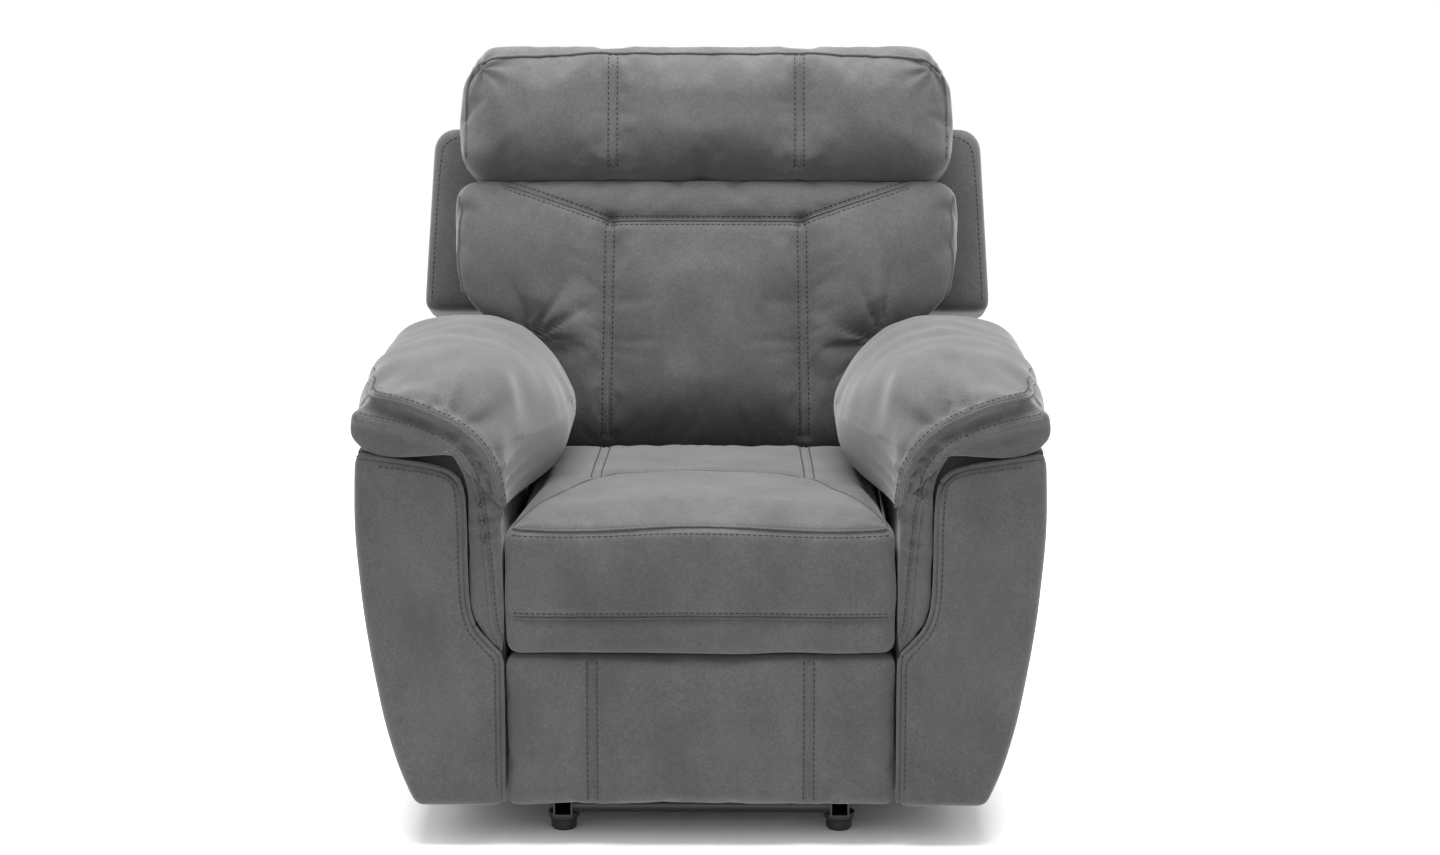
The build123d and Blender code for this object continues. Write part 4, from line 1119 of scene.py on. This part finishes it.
def build_rear_flap():
    """Rear flap: lining hung from its batten between the arms, closing the gap behind the mechanism."""
    low, high = (np.array(corner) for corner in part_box("rear_flap"))
    x = np.linspace(low[0] + 0.002, high[0] - 0.002, 70)
    z = np.linspace(low[2], high[2], 30)
    xx, zz = np.meshgrid(x, z, indexing="ij")
    hang = (high[2] - zz) / (high[2] - low[2])
    yy = low[1] + 0.002 + 0.0018 * hang * (1 + np.sin(xx * 46 + 0.7 * np.sin(xx * 19)))
    points = place(xx, yy, zz).reshape(-1, 3)
    flap = make_object("rear_flap_cloth", points, sheet_quads(len(x), len(z)), "lining")
    wall = flap.modifiers.new("Cloth thickness", "SOLIDIFY")
    wall.thickness, wall.offset = 0.0012, 0
    keep_result(flap)
    belongs(flap, "base", ["rear_flap"])


def finish_frame():
    """Every CAD node that stays in sight gets the finish of its material slot."""
    slots = {part["node"]: part["material_slot"] for part in frame["record"]["subparts"]}
    for name, piece in frame["nodes"].items():
        if slots[name] != "upholstery":
            piece.data.materials.clear()
            piece.data.materials.append(finish_of(slots[name]))


# --- stage -------------------------------------------------------------------------------------------

CAMERA_PLACE = (0.058, FRONT_Y - 4.0, 1.29)
CAMERA_DOWN, CAMERA_TURN, CAMERA_LENS = 10.2, 0.46, 78.2


def area_light(name, spot, target, size, power):
    """A square light of a given width that shines on a target."""
    light = bpy.data.lights.new(name, "AREA")
    light.shape, light.size, light.energy = "SQUARE", size, power
    made = bpy.data.objects.new(name, light)
    made.location = spot
    made.rotation_euler = (Vector(target) - Vector(spot)).to_track_quat("-Z", "Y").to_euler()
    bpy.context.collection.objects.link(made)


def build_stage():
    """Plain pale floor, soft studio light from above and in front, and the camera."""
    half = 8.0
    corners = [(-half, -half, 0), (half, -half, 0), (half, half, 0), (-half, half, 0)]
    floor = make_object("studio_floor", corners, [(0, 1, 2, 3)])
    floor.data.materials.clear()
    painted, tree, shader = material("Matt_studio_paint", colours().floor, 0.9)
    bump(tree, shader, noise(tree, 40, 2), "Fac", 0.2, 0.2)
    floor.data.materials.append(painted)
    bpy.context.scene.view_settings.view_transform = "Standard"
    world = bpy.data.worlds.new("Studio")
    bpy.context.scene.world = world
    world.use_nodes = True
    background = world.node_tree.nodes["Background"]
    background.inputs["Color"].default_value = (1, 1, 1, 1)
    background.inputs["Strength"].default_value = 1.0
    area_light("overhead", (0, -0.2, 3.0), (0, 0, 0.4), 2.4, 230)
    area_light("front_left", (-2.6, -3.0, 2.0), (0, 0, 0.5), 1.8, 20)
    area_light("front_right", (2.6, -3.0, 2.0), (0, 0, 0.5), 1.8, 8)
    camera = bpy.data.cameras.new("Camera")
    camera.sensor_width, camera.lens = 36.0, CAMERA_LENS
    made = bpy.data.objects.new("Camera", camera)
    made.location = CAMERA_PLACE
    made.rotation_euler = (math.radians(90 - CAMERA_DOWN), 0, math.radians(CAMERA_TURN))
    bpy.context.collection.objects.link(made)
    bpy.context.scene.camera = made


# --- operators ---------------------------------------------------------------------------------------

class RECLINER_OT_stage(bpy.types.Operator):
    """Adds the studio floor, lights and camera"""
    bl_idname = "recliner.stage"
    bl_label = "Stage"

    def execute(self, context):
        build_stage()
        return {"FINISHED"}


class RECLINER_OT_frame(bpy.types.Operator):
    """Gives the frame, mechanism, base and release handle their finishes"""
    bl_idname = "recliner.frame"
    bl_label = "Frame finishes"

    def execute(self, context):
        finish_frame()
        return {"FINISHED"}


class RECLINER_OT_seat(bpy.types.Operator):
    """Builds the seat cushion with its seams"""
    bl_idname = "recliner.seat"
    bl_label = "Seat cushion"

    def execute(self, context):
        build_seat()
        return {"FINISHED"}


class RECLINER_OT_footrest(bpy.types.Operator):
    """Builds the footrest pad with its sewn channels"""
    bl_idname = "recliner.footrest"
    bl_label = "Footrest pad"

    def execute(self, context):
        build_footrest()
        return {"FINISHED"}


class RECLINER_OT_lumbar(bpy.types.Operator):
    """Builds the lumbar cushion"""
    bl_idname = "recliner.lumbar"
    bl_label = "Lumbar cushion"

    def execute(self, context):
        build_lumbar()
        return {"FINISHED"}


class RECLINER_OT_headrest(bpy.types.Operator):
    """Builds the headrest bolster"""
    bl_idname = "recliner.headrest"
    bl_label = "Headrest"

    def execute(self, context):
        build_headrest()
        return {"FINISHED"}


class RECLINER_OT_back_cover(bpy.types.Operator):
    """Builds the outer back with its wings and skirt"""
    bl_idname = "recliner.back_cover"
    bl_label = "Outer back"

    def execute(self, context):
        build_back_cover()
        return {"FINISHED"}


class RECLINER_OT_arm_bodies(bpy.types.Operator):
    """Builds the padded arm boxes, their front panels and piping"""
    bl_idname = "recliner.arm_bodies"
    bl_label = "Arm boxes"

    def execute(self, context):
        build_arm_bodies()
        return {"FINISHED"}


class RECLINER_OT_arm_pillows(bpy.types.Operator):
    """Builds the arm pillows and the pads that drop down in front of them"""
    bl_idname = "recliner.arm_pillows"
    bl_label = "Arm pillows"

    def execute(self, context):
        build_arm_pillows()
        return {"FINISHED"}


class RECLINER_OT_rear_flap(bpy.types.Operator):
    """Hangs the lining behind the mechanism"""
    bl_idname = "recliner.rear_flap"
    bl_label = "Rear flap"

    def execute(self, context):
        build_rear_flap()
        return {"FINISHED"}


OPERATORS = (RECLINER_OT_stage, RECLINER_OT_frame, RECLINER_OT_seat, RECLINER_OT_footrest, RECLINER_OT_lumbar,
             RECLINER_OT_headrest, RECLINER_OT_back_cover, RECLINER_OT_arm_bodies, RECLINER_OT_arm_pillows,
             RECLINER_OT_rear_flap)


class RECLINER_PT_panel(bpy.types.Panel):
    """Lists the chair's pieces and settings"""
    bl_idname = "RECLINER_PT_panel"
    bl_label = "Recliner armchair"
    bl_space_type = "VIEW_3D"
    bl_region_type = "UI"
    bl_category = "Recliner"

    def draw(self, context):
        for settings in (sizes(), colours()):
            for name in settings.__annotations__:
                self.layout.prop(settings, name)
        for operator in OPERATORS:
            self.layout.operator(operator.bl_idname)


CLASSES = (ReclinerSizes, ReclinerColours, *OPERATORS, RECLINER_PT_panel)


def register():
    for each in CLASSES:
        bpy.utils.register_class(each)
    bpy.types.Scene.recliner_sizes = PointerProperty(type=ReclinerSizes)
    bpy.types.Scene.recliner_colours = PointerProperty(type=ReclinerColours)


def unregister():
    del bpy.types.Scene.recliner_colours
    del bpy.types.Scene.recliner_sizes
    for each in reversed(CLASSES):
        bpy.utils.unregister_class(each)


def main():
    """Builds every piece."""
    register()
    for operator in OPERATORS:
        group, name = operator.bl_idname.split(".")
        getattr(getattr(bpy.ops, group), name)()


if __name__ == "__main__":
    main()
